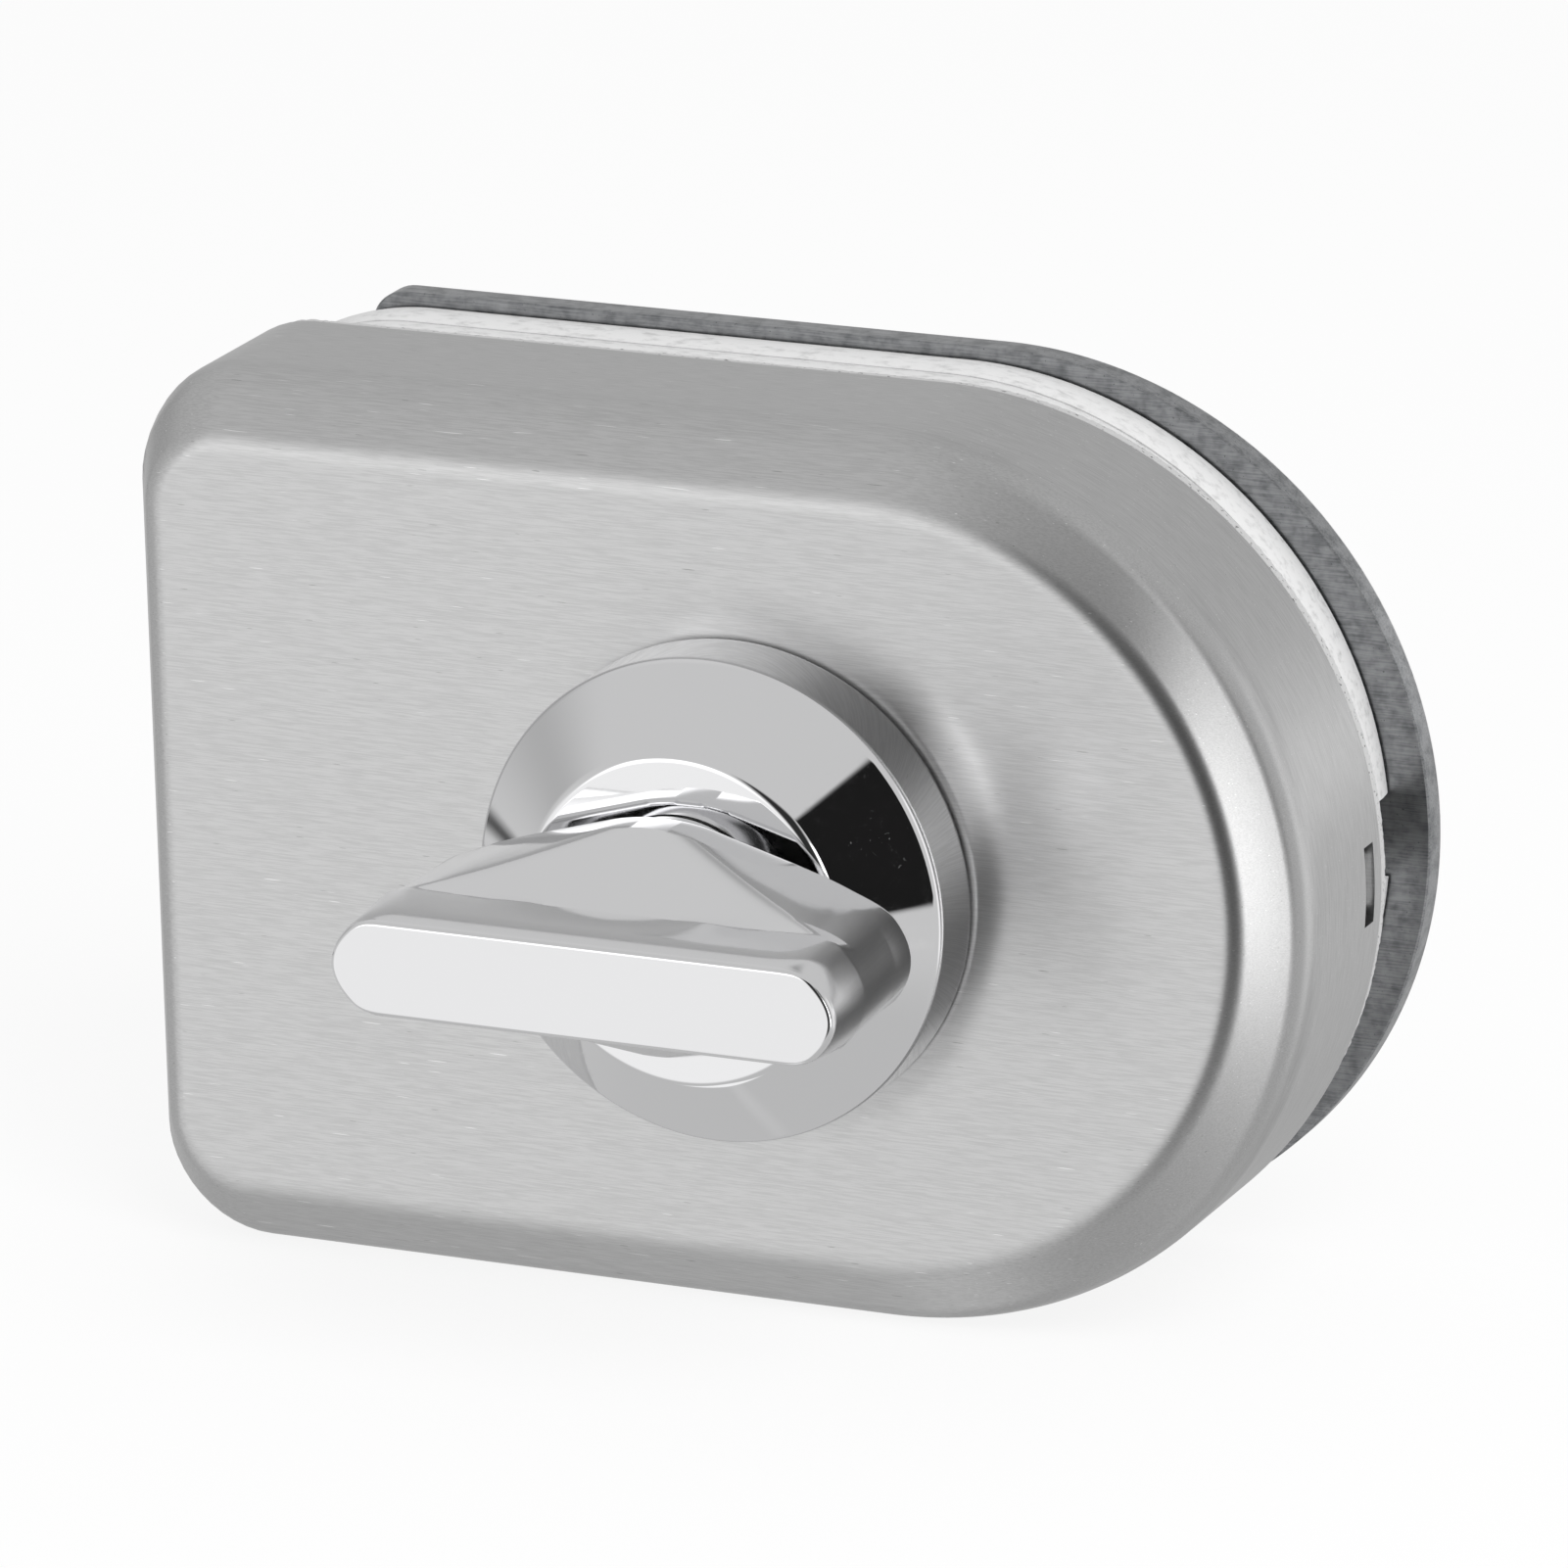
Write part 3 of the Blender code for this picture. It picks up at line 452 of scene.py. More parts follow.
@dataclass(frozen=True)
class BrushedSheet(Finish):
    """Stainless sheet, brushed along its length on the face and round its rim on the wall."""

    line_mm: float = 0.09
    line_length_mm: float = 2.4
    depth_mm: float = 0.0010
    groove: str = "c3c3c3"
    stroke_mm: Triple = (26.0, 0.5, 0.5)
    nick_mm: Triple = (2.8, 0.10, 0.10)
    nick: str = "fbfbfb"
    score_mm: Triple = (1.8, 0.10, 0.12)
    score: str = "7c7c7c"
    stretch: float = 0.8

    def lines(self, paint: Paint, way: Line) -> Socket:
        """Noise drawn out along the way that the brush went."""
        along, across = self.line_length_mm, self.line_mm
        return paint.noise((along, across, across if way is Line.ALONG_X else along), 4.0)

    def pattern(self, paint: Paint) -> None:
        """Brush lines in height and tone, longer strokes, bright nicks and dark scores.

        Args:
            paint: The material's paint.
        """
        tree, shader = paint.tree, paint.shader
        normal = add_node(tree, "ShaderNodeNewGeometry").outputs["Normal"]
        towards = add_node(tree, "ShaderNodeSeparateXYZ", {0: normal}).outputs["Y"]
        size = add_node(tree, "ShaderNodeMath", {0: towards}, operation="ABSOLUTE").outputs[0]
        front = band(tree, size, 0.2, 0.6)
        face = self.lines(paint, Line.ALONG_X)
        wall = self.lines(paint, Line.ROUND_THE_RIM)
        links = {0: front, 2: wall, 3: face}
        both = add_node(tree, "ShaderNodeMix", links, data_type="FLOAT").outputs[0]
        links = {0: paint.marks(self.stroke_mm, 1.0, 0.60, 0.74), 1: -0.5, 2: both}
        height = add_node(tree, "ShaderNodeMath", links, operation="MULTIPLY_ADD").outputs[0]
        paint.relief(height, self.depth_mm)
        paint.tint(band(tree, both, 0.38, 0.64), self.groove)
        paint.tint(paint.marks(self.nick_mm, 0.0, 0.80, 0.86, (0.0, 0.8)), self.nick)
        paint.tint(paint.marks(self.score_mm, 0.0, 0.13, 0.18, (0.6, 0.0)), self.score)
        # The tangent runs across the lines, because they draw a highlight out that way.
        shader.inputs["Anisotropic"].default_value = self.stretch
        links = {0: front, 4: (0.0, 1.0, 0.0), 5: (0.0, 0.0, 1.0)}
        tangent = add_node(tree, "ShaderNodeMix", links, data_type="VECTOR")
        tree.links.new(tangent.outputs[1], shader.inputs["Tangent"])


@dataclass(frozen=True)
class PolishedChrome(Finish):
    """Chrome over polished zinc: a mirror with faint waves and a few fine scratches."""

    wave_mm: float = 6.0
    wave_depth_mm: float = 0.002
    speck_mm: float = 0.30
    speck_haze: float = 0.14
    haze_mm: float = 0.9
    scratch_mm: Triple = (1.6, 0.5, 0.07)
    field_mm: float = 5.0

    def pattern(self, paint: Paint) -> None:
        """Soft waves left by the polishing wheel, and fields of specks and scratches.

        Args:
            paint: The material's paint.
        """
        paint.relief(paint.noise(self.wave_mm, 1.0), self.wave_depth_mm)
        dull = (self.roughness, self.roughness + 0.04)
        haze = paint.marks(self.haze_mm, 3.0, 0.45, 0.75, dull)
        links = {
            0: paint.marks(self.speck_mm, 2.0, 0.66, 0.72),
            1: paint.marks(self.scratch_mm, 1.0, 0.74, 0.80),
        }
        worn = add_node(paint.tree, "ShaderNodeMath", links, operation="MAXIMUM").outputs[0]
        fields = paint.marks(self.field_mm, 2.0, 0.48, 0.62, (0.0, self.speck_haze))
        links = {0: worn, 1: fields, 2: haze}
        rough = add_node(paint.tree, "ShaderNodeMath", links, operation="MULTIPLY_ADD")
        paint.tree.links.new(rough.outputs[0], paint.shader.inputs["Roughness"])


@dataclass(frozen=True)
class RolledSteel(Finish):
    """Rolled or drawn steel: fine drawn grain, faint cloudy stains and dark pits."""

    cloud_mm: float = 3.5
    pit_mm: float = 0.35
    stain: str = "55585b"
    stain_share: float = 0.3
    grain_mm: Triple = (4.0, 0.14, 0.14)
    grain_depth_mm: float = 0.002

    def pattern(self, paint: Paint) -> None:
        """Cloudy stains with pits, over the drawn grain.

        Args:
            paint: The material's paint.
        """
        links = {
            0: paint.marks(self.cloud_mm, 2.0, 0.35, 0.75, (0.0, self.stain_share)),
            1: paint.marks(self.pit_mm, 1.0, 0.70, 0.75, (0.0, 2.5)),
        }
        stains = add_node(paint.tree, "ShaderNodeMath", links, operation="MAXIMUM").outputs[0]
        grain = paint.noise(self.grain_mm, 3.0)
        links = {0: band(paint.tree, grain, 0.38, 0.66, (0.0, 0.45)), 1: stains}
        mask = add_node(paint.tree, "ShaderNodeMath", links, operation="ADD").outputs[0]
        paint.tint(mask, self.stain)
        paint.relief(grain, self.grain_depth_mm)


@dataclass(frozen=True)
class WearAndHighlightSteel(Finish):
    """A steel edge whose bright colour is a painted highlight: rough, sparkling in specks, with
    darker wear nicks.
    """

    grain_mm: float = 0.12
    depth_mm: float = 0.06
    patch_mm: float = 0.8
    patch: str = "6f7173"

    def pattern(self, paint: Paint) -> None:
        """Coarse grain with darker nicks."""
        paint.relief(paint.noise(self.grain_mm, 2.0), self.depth_mm)
        paint.tint(paint.marks(self.patch_mm, 3.0, 0.50, 0.66), self.patch)


@dataclass(frozen=True)
class DieCast(Finish):
    """Light alloy as it comes from the die: granular, with sooty specks."""

    grain_mm: float = 0.35
    soot: str = "4a4a4c"
    depth_mm: float = 0.06

    def pattern(self, paint: Paint) -> None:
        """Granular skin with specks."""
        grain = paint.noise((self.grain_mm * 2, self.grain_mm, self.grain_mm), 4.0)
        paint.relief(grain, self.depth_mm)
        paint.tint(band(paint.tree, grain, 0.58, 0.70), self.soot)


@dataclass(frozen=True)
class MouldedPlastic(Finish):
    """Moulded nylon or silicone: matt, with dust in places."""

    dust_mm: float = 2.2
    dust: str = "c9c9c8"
    skin_mm: float = 0.3
    skin_depth_mm: float = 0.008

    def pattern(self, paint: Paint) -> None:
        """Faint dust and a soft skin."""
        size = (self.dust_mm * 2, self.dust_mm, self.dust_mm)
        paint.tint(paint.marks(size, 5.0, 0.46, 0.78), self.dust)
        paint.relief(paint.noise(self.skin_mm, 2.0), self.skin_depth_mm)


# Brushed stainless sheet: soft grey, its highlights drawn out across the lines.
COVER_STEEL = BrushedSheet("brushed_stainless_sheet", "brushed_stainless", "cfcfcf", 1.0, 0.33)
# Chrome plating: a clear mirror on the turned rosette, a softer one on the buffed casting.
CHROME = PolishedChrome("polished_chrome_plate", "polished_chrome", "f0f0f1", 1.0, 0.03)
CAST_CHROME = PolishedChrome("chrome_on_buffed_casting", "polished_chrome", "ececed", 1.0, 0.09)
# Rolled stainless plate: darker and streaky, stained on its rim, its rear edge round painted bright
# as a highlight, with wear nicks.
PLATE_STEEL = RolledSteel(
    "rolled_stainless_plate", "plate_stainless", "9a9b9d", 1.0, 0.34, 2.2, 0.24, "7e8082")
PLATE_RIM = RolledSteel(
    "stained_plate_rim", "plate_stainless", "acadaf", 1.0, 0.38, 1.3, 0.26, "76787a", 0.62)
EDGE_WEAR_AND_HIGHLIGHT = WearAndHighlightSteel("plate_edge_wear_and_painted_highlight", "plate_stainless", "d2d3d4", 1.0, 0.34)
# Drawn steel of screws and bolt: bright, with a fine grain.
SCREW_STEEL = RolledSteel(
    "bright_drawn_steel", "spring_steel", "b9babb", 1.0, 0.24, stain="8d8f91")
# Die-cast alloy: dull and granular, nearly white where the flash is broken off.
CASTING = DieCast("die_cast_alloy", "cast_alloy", "c4c4c4", 1.0, 0.45)
FLANGE = DieCast("ragged_casting_edge", "cast_alloy", "d6d6d6", 0.35, 0.62, 0.30, "4e4e4f")
# Zinc plating on the catch: whitish and half matt.
CATCH_PLATE = RolledSteel(
    "zinc_plated_catch", "spring_steel", "dcdcdc", 0.55, 0.5, 1.2, 0.25, "c4c5c6")
# Sintered bronze: brown and porous.
BRONZE = RolledSteel("sintered_bronze", "sintered_bronze", "b8864e", 1.0, 0.42, stain="8a6238")
# Nylon and silicone rubber: white and matt, the rubber dusty.
NYLON = MouldedPlastic("moulded_nylon", "white_nylon", "e6e5e0", 0.0, 0.42)
SILICONE = MouldedPlastic(
    "white_silicone_rubber", "white_silicone", "e6e6e6", 0.0, 0.55, 0.7, "c6c6c6")


@dataclass
class Cover:
    """The stamped cover, drawn finer than its solid, with true rounds along its bevel."""

    depth: float = 0.0176
    sheet: float = 0.0012
    corner: float = 0.0080
    bevel_width: float = 0.0052
    bevel_depth: float = 0.0035
    bevel_round: float = 0.0037
    end_fillet: float = 0.0030
    rim_round: float = 0.0003
    hole_radius: float = 0.0113
    bolt_low: float = 0.0077
    bolt_high: float = 0.0163
    bolt_half_height: float = 0.0133
    slot_rear: float = 0.0159
    slot_depth: float = 0.0018
    slot_height: float = 0.0064
    support: float = 0.0001
    round_steps: int = 120
    corner_steps: int = 12
    bevel_steps: int = 10
    hole_steps: int = 96

    def outline(self, left: float, inset: float) -> list[Point]:
        """The D-shaped outline, its flat end stood in by left and the rest by inset."""
        return d_outline(left, inset, self.corner - left, self.round_steps, self.corner_steps)

    def end_inset(self, depth: float, offset: float) -> float:
        """How far the flat end's fillet stands in.

        Args:
            depth: The depth that is asked for.
            offset: How far inside the sheet.

        Returns:
            The inset.
        """
        rise = max(self.end_fillet - depth, 0.0)
        reach = self.end_fillet - offset
        return self.end_fillet - math.sqrt(max(reach * reach - rise * rise, 0.0))

    def bevel(self, offset: float) -> list[Point]:
        """The rounded bevel's section.

        Args:
            offset: How far inside the sheet.

        Returns:
            Points of inset and depth, from the face to the wall.
        """
        slope = math.atan2(self.bevel_depth, self.bevel_width)
        face_tangent = self.bevel_round * math.tan(slope / 2)
        wall_tangent = self.bevel_round * math.tan((math.pi / 2 - slope) / 2)
        radius = max(self.bevel_round - offset, self.rim_round)
        near = (self.bevel_width + face_tangent, self.bevel_round)
        far = (self.bevel_round, self.bevel_depth + wall_tangent)
        points = [(near[0] + self.support, offset)]
        for centre, start, end in ((near, 0.0, slope), (far, slope, math.pi / 2)):
            for step in range(self.bevel_steps + 1):
                angle = start + (end - start) * step / self.bevel_steps
                inset = centre[0] - radius * math.sin(angle)
                points.append((inset, centre[1] - radius * math.cos(angle)))
        points.append((offset, far[1] + self.support))
        return points

    def ring(self, inset: float, depth: float, offset: float) -> Level:
        """One level of the shell, on a face that lies offset inside the sheet."""
        return self.outline(max(self.end_inset(depth, offset), 0.0), inset), depth

    def build(self) -> Item:
        """Loft the shell and cut its hole, bolt slot and catch slot.

        Returns:
            The shell.
        """
        levels = [self.ring(inset, depth, 0.0) for inset, depth in self.bevel(0.0)]
        levels.append((self.outline(0.0, 0.0), self.depth - self.rim_round - self.support))
        for angle in (0.0, math.pi / 4, math.pi / 2):
            inset = self.rim_round * (1 - math.cos(angle))
            depth = self.depth - self.rim_round * (1 - math.sin(angle))
            levels.append((self.outline(inset, inset), depth))
        levels.append((self.outline(self.sheet, self.sheet), self.depth))
        inner = reversed(self.bevel(self.sheet))
        levels += [self.ring(inset, depth, self.sheet) for inset, depth in inner]
        shell = loft("cover_shell", levels)
        through, half = 2 * self.sheet, self.slot_height / 2
        slot_front = self.slot_rear - self.slot_depth
        cut(
            shell,
            rod("hole_tool", (SIZES.turn_x, 0.0), self.hole_radius, self.hole_steps,
                (-self.sheet, through)),
            box("bolt_tool", (-self.sheet, self.bolt_low, -self.bolt_half_height),
                (through, self.bolt_high, self.bolt_half_height)),
            box("slot_tool", (SIZES.length - 3 * self.sheet, slot_front, -half),
                (SIZES.length + self.sheet, self.slot_rear, half)),
        )
        return shell

    def dress(self) -> None:
        """Build the cover and put it in the solid's place."""
        settle(self.build(), COVER_STEEL, Body.LOCK, ("front_cover",))


@dataclass
class BaseFlange:
    """The rough edge of the cast base, which shows behind the cover's rim."""

    inset: float = 0.00025
    corner: float = 0.0078
    width: float = 0.0018
    front: float = 0.01785
    rear: float = 0.01878
    roughness: float = 0.00004
    seed: int = 5
    round_steps: int = 420
    corner_steps: int = 30
    straight_steps: int = 200
    straight_from: float = 0.01

    def outline(self, inset: float) -> list[Point]:
        """A finely divided outline, so that its edge can be ragged.

        Args:
            inset: How far it stands in.

        Returns:
            Its points.
        """
        corner = self.corner - inset
        points = d_outline(inset, inset, corner, self.round_steps, self.corner_steps)
        result: list[Point] = []
        for here, following in zip(points, points[1:] + points[:1]):
            straight = math.dist(here, following) > self.straight_from
            parts = self.straight_steps if straight else 1
            result += [blend(here, following, part / parts) for part in range(parts)]
        return result

    def dress(self) -> None:
        """Build the ragged ring; the solid base stays behind it."""
        outer, inner = self.outline(self.inset), self.outline(self.inset + self.width)
        chance = random.Random(self.seed)
        ragged = [
            blend(here, there, chance.random() * self.roughness / self.width * 2)
            for here, there in zip(outer, inner)
        ]
        levels = [(outer, self.front), (ragged, self.rear), (inner, self.rear), (inner, self.front)]
        settle(loft("base_flange", levels, closed=True), FLANGE, Body.LOCK, ())


@dataclass
class GlassSeats:
    """The two soft gaskets: die-cut, a little crowned on their edge, with slack upper corners."""

    fronts: Point = (0.0188, 0.0232)
    thickness: float = 0.0041
    left: float = 0.0030
    end_inset: float = 0.0030
    inset: float = 0.0008
    corner: float = 0.0016
    fall_from: float = 0.0135
    fall_radius: float = 0.0200
    hole_radius: float = 0.0042
    notch_depth: float = 0.0060
    notch_height: float = 0.0068
    crown: float = 0.00022
    crown_shares: tuple[float, ...] = (0.0, 0.12, 0.35, 0.65, 0.88, 1.0)
    overcut: float = 0.001
    lead_end: float = math.pi / 2 + 0.3
    round_steps: int = 110
    fall_steps: int = 14
    lead_steps: int = 6
    hole_steps: int = 48

    def outline(self, inset: float) -> list[Point]:
        """The gasket's outline, which falls away towards the flat end.

        Args:
            inset: How far the crowned edge stands in.

        Returns:
            Its points.
        """
        high = SIZES.height / 2 - self.inset - inset
        centre = SIZES.length - self.end_inset - SIZES.height / 2 + self.inset
        round_end = arc((centre, 0.0), high, math.pi / 2, -math.pi / 2, self.round_steps)
        reach = self.fall_from - self.left - inset - self.corner
        start = math.pi - math.acos(reach / self.fall_radius)
        middle = (self.fall_from, high - self.fall_radius)
        fall = arc(middle, self.fall_radius, start, math.pi / 2, self.fall_steps)
        foot = fall[0]
        radius = foot[0] - (self.left + inset)
        middle = (foot[0], foot[1] - radius)
        upper = arc(middle, radius, math.pi, self.lead_end, self.lead_steps) + fall
        return upper + round_end + [(x, -z) for x, z in reversed(upper)]

    def dress(self) -> None:
        """Build both layers, each in its solid's place."""
        for name, front in zip(("gasket_front", "gasket_rear"), self.fronts):
            layer = loft(f"{name}_strip", [
                (self.outline(self.crown * (2 * share - 1) ** 2), front + self.thickness * share)
                for share in self.crown_shares
            ])
            ends = (front - self.overcut, front + self.thickness + self.overcut)
            left = SIZES.length - self.end_inset - self.notch_depth
            half = self.notch_height / 2
            notch = box("notch_tool", (left, ends[0], -half), (SIZES.length, ends[1], half))
            holes = [
                rod("hole_tool", place, self.hole_radius, self.hole_steps, ends)
                for place in SIZES.screws
            ]
            cut(layer, notch, *holes)
            settle(layer, SILICONE, Body.LOCK, (name,), smooth=35)


@dataclass
class RearPlate:
    """The flat plate behind the glass, with a painted highlight on its rear edge round and
    countersunk holes.
    """

    front: float = 0.0276
    rear: float = 0.0301
    left: float = 0.0080
    corner: float = 0.0030
    front_edge: float = 0.00015
    rear_edge: float = 0.00035
    hole_radius: float = 0.0028
    mouth_radius: float = 0.0052
    overcut: float = 0.001
    rim_below: float = 0.2
    face_above: float = 0.98
    round_steps: int = 160
    corner_steps: int = 12
    hole_steps: int = 64

    def outline(self, inset: float) -> list[Point]:
        """The plate's outline, stood in evenly."""
        corner = self.corner - inset
        return d_outline(self.left + inset, inset, corner, self.round_steps, self.corner_steps)

    def dress(self) -> None:
        """Build the plate, countersink it, give its rim its own finish and paint a highlight on its
        rear edge round.
        """
        levels = [
            (self.outline(self.front_edge), self.front),
            (self.outline(0.0), self.front + self.front_edge),
        ]
        for angle in (0.0, math.pi / 6, math.pi / 3, math.pi / 2):
            depth = self.rear - self.rear_edge * (1 - math.sin(angle))
            levels.append((self.outline(self.rear_edge * (1 - math.cos(angle))), depth))
        plate = loft("rear_plate_blank", levels)
        profile = (
            (self.hole_radius, self.front - self.overcut),
            (self.hole_radius, self.rear - (self.mouth_radius - self.hole_radius)),
            (self.mouth_radius, self.rear),
            (self.mouth_radius, self.rear + self.overcut),
        )
        for place in SIZES.screws:
            cut(plate, loft("countersink_tool", [
                (circle(place, radius, self.hole_steps), depth) for radius, depth in profile
            ]))
        # The rear edge round's faces get a brighter colour, a painted highlight; their darker nicks
        # are wear.
        worn, rim = [], []
        for face in plate.data.polygons:
            place = (face.center.x, face.center.z)
            clear = min(math.dist(place, screw) for screw in SIZES.screws) > 2 * self.hole_radius
            if face.normal.y < self.rim_below:
                rim.append(face.index)
            elif self.rim_below < face.normal.y < self.face_above and clear:
                worn.append(face.index)
        settle(plate, PLATE_STEEL, Body.LOCK, ("rear_plate",))
        for number, (finish, faces) in enumerate(((EDGE_WEAR_AND_HIGHLIGHT, worn), (PLATE_RIM, rim)), start=1):
            plate.data.materials.append(finish.material())
            for index in faces:
                plate.data.polygons[index].material_index = number


@dataclass
class Rosette:
    """The turned rosette: straight rim, cone and flat top, with fine rounds on its edges."""

    radius: float = 0.0194
    rim_height: float = 0.0061
    top_height: float = 0.0114
    top_radius: float = 0.0130
    bore: float = 0.0079
    shank_radius: float = 0.0110
    shank_end: float = 0.0042
    gap: float = 0.0003
    edge_round: float = 0.00045
    support: float = 0.00008
    steps: int = 176

    def corners(self) -> list[Triple]:
        """Corners of the section.

        Returns:
            Radius, depth and rounding of each.
        """
        small = self.edge_round
        return [
            (self.bore, self.shank_end, 0.0),
            (self.shank_radius, self.shank_end, 0.0),
            (self.shank_radius, -self.gap, 0.0),
            (self.radius, -self.gap, small),
            (self.radius, -self.rim_height, small),
            (self.top_radius, -self.top_height, small),
            (self.bore, -self.top_height, small),
        ]

    def section(self) -> list[Point]:
        """The section with its corners rounded.

        Returns:
            Radius and depth, with a support point on each side of a round.
        """
        corners = self.corners()
        points: list[Point] = []
        for index, (radius, depth, size) in enumerate(corners):
            here = Vector((radius, depth))
            if size == 0.0:
                points.append((radius, depth))
                continue
            before = (Vector(corners[index - 1][:2]) - here).normalized()
            after = (Vector(corners[(index + 1) % len(corners)][:2]) - here).normalized()
            start, end = here + before * size, here + after * size
            points.append(tuple(here + before * (size + self.support)))
            for share in (0.0, 0.25, 0.5, 0.75, 1.0):
                points.append(tuple(start.lerp(here, share).lerp(here.lerp(end, share), share)))
            points.append(tuple(here + after * (size + self.support)))
        return points

    def dress(self) -> None:
        """Turn the rosette and put it in the solid's place."""
        axis = (SIZES.turn_x, 0.0)
        levels = [(circle(axis, radius, self.steps), depth) for radius, depth in self.section()]
        ring = loft("rosette_ring", levels, closed=True)
        settle(ring, CHROME, Body.LOCK, ("rosette",), smooth=24)


@dataclass
class ThumbTurn:
    """The cast turn: a bowed bar, a hump behind it, a neck and the shaft, all in one piece."""

    length: float = 0.0416
    thickness: float = 0.0077
    sagitta: float = 0.0026
    edge_round: float = 0.0005
    band_depth: float = 0.0058
    band_rise: float = 0.0007
    bar_depth: float = 0.0160
    hump_radius: float = 0.0091
    hump_reach: float = 0.0129
    hump_half_width: float = 0.0150
    neck_radius: float = 0.0085
    shaft_radius: float = 0.0060
    groove_radius: float = 0.0052
    groove: Point = (0.00435, 0.0055)
    shaft_end: float = 0.0058
    shoulder_depth: float = -0.0117
    socket_front: float = -0.0145
    socket_half: float = 0.00305
    end_round: Point = (0.0009, 0.0020)
    draft: float = 0.0005
    crease_round: float = 0.0006
    foot_round: float = 0.0005
    steps: int = 400
    crowding: float = 2.4
    halvings: int = 26
    front_steps: int = 6
    hump_steps: int = 40
    rear_steps: int = 4

    def angles(self) -> list[float]:
        """Directions about the axis, closer together at the bar's ends."""
        even = [2 * math.pi * step / self.steps for step in range(self.steps)]
        return [math.atan2(math.sin(a), math.cos(a) * self.crowding) for a in even]

    def rounded(self, first: float, second: float, radius: float) -> float:
        """The larger of two signed distances, with the edge between them rounded.

        Args:
            first: One distance, negative inside.
            second: The other.
            radius: The edge's radius.

        Returns:
            The joint distance.
        """
        if radius <= 0.0 or first < -radius or second < -radius:
            return max(first, second)
        return math.hypot(first + radius, second + radius) - radius

    def outside(self, along: float, across: float, rise: float, growth: float) -> float:
        """How far a point lies outside a section of the turn.

        Args:
            along: The point's distance from the axis along the bar.
            across: Its distance across the bar.
            rise: How far the band has risen.
            growth: From 0 where the hump starts to 1 where it is whole.

        Returns:
            The distance, negative inside.
        """
        low = self.thickness / 2 + rise
        side = across - low
        shoulder = self.length / 2 - self.sagitta
        if growth > 0.0:
            top = low + (self.hump_radius - low) * growth
            tangent = math.acos(self.hump_radius / math.hypot(shoulder, low))
            narrow = self.hump_radius * math.cos(tangent + math.atan2(low, shoulder))
            half_width = self.hump_half_width + (narrow - self.hump_half_width) * growth
            slope = (top - low) / (shoulder - half_width)
            flank = (across - top + slope * (along - half_width)) / math.hypot(1.0, slope)
            hump = self.rounded(across - top, flank, self.crease_round)
            side = -self.rounded(-side, -hump, self.foot_round * growth)
        bow = low * low / (2 * self.sagitta)
        tip = self.length / 2 - self.draft * growth
        end = (along - tip + across * across / (2 * bow)) / math.hypot(1.0, across / bow)
        near, far = self.end_round
        return self.rounded(side, end, near + (far - near) * min(4 * growth, 1.0))

    def section(self, inset: float, rise: float, growth: float) -> list[Point]:
        """One section of the turn, square to its axis.

        Args:
            inset: How far inside the surface.
            rise: How far the band has risen.
            growth: How far the hump has grown.

        Returns:
            Its points.
        """
        points = []
        for angle in self.angles():
            along, across = abs(math.cos(angle)), abs(math.sin(angle))
            near, far = 0.0, self.length
            for _ in range(self.halvings):
                radius = (near + far) / 2
                if self.outside(radius * along, radius * across, rise, growth) < -inset:
                    near = radius
                else:
                    far = radius
            points.append((SIZES.turn_x + radius * math.cos(angle), radius * math.sin(angle)))
        return points

    def round_section(self, radius: float) -> list[Point]:
        """A round section with the same directions."""
        return [(SIZES.turn_x + radius * math.cos(a), radius * math.sin(a)) for a in self.angles()]

    def levels(self) -> list[Level]:
        """All sections from the front face to the shaft's end.

        Returns:
            The levels.
        """
        front = -SIZES.turn_reach
        support = self.edge_round / 4
        result = [(self.section(self.edge_round + support, 0.0, 0.0), front)]
        for step in range(self.front_steps + 1):
            lean = math.pi / 2 * step / self.front_steps
            section = self.section(self.edge_round * (1 - math.sin(lean)), 0.0, 0.0)
            result.append((section, front + self.edge_round * (1 - math.cos(lean))))
        for share in (0.12, 0.5, 1.0):
            section = self.section(0.0, self.band_rise * share, 0.0)
            result.append((section, front + self.band_depth * share))
        band_end = front + self.band_depth
        for step in range(1, self.hump_steps + 1):
            growth = step / self.hump_steps
            depth = band_end + (self.hump_reach - self.band_depth) * growth
            result.append((self.section(0.0, self.band_rise, growth), depth))
        rear = front + self.bar_depth
        for step in range(self.rear_steps + 1):
            lean = math.pi / 2 * step / self.rear_steps
            section = self.section(self.edge_round * (1 - math.cos(lean)), self.band_rise, 1.0)
            result.append((section, rear - self.edge_round * (1 - math.sin(lean))))
        for radius, depth in (
            (self.neck_radius, rear),
            (self.neck_radius, self.shoulder_depth),
            (self.shaft_radius, self.shoulder_depth),
            (self.shaft_radius, self.groove[0]),
            (self.groove_radius, self.groove[0]),
            (self.groove_radius, self.groove[1]),
            (self.shaft_radius, self.groove[1]),
            (self.shaft_radius, self.shaft_end),
        ):
            result.append((self.round_section(radius), depth))
        return result

    def dress(self) -> None:
        """Loft the turn, cut its socket and put it in the solid's place."""
        turn = loft("thumb_turn_casting", self.levels())
        x, half = SIZES.turn_x, self.socket_half
        low = (x - half, self.socket_front, -half)
        cut(turn, box("socket_tool", low, (x + half, 2 * self.shaft_end, half)))
        settle(turn, CAST_CHROME, Body.TURN, ("thumb_turn",), smooth=24)


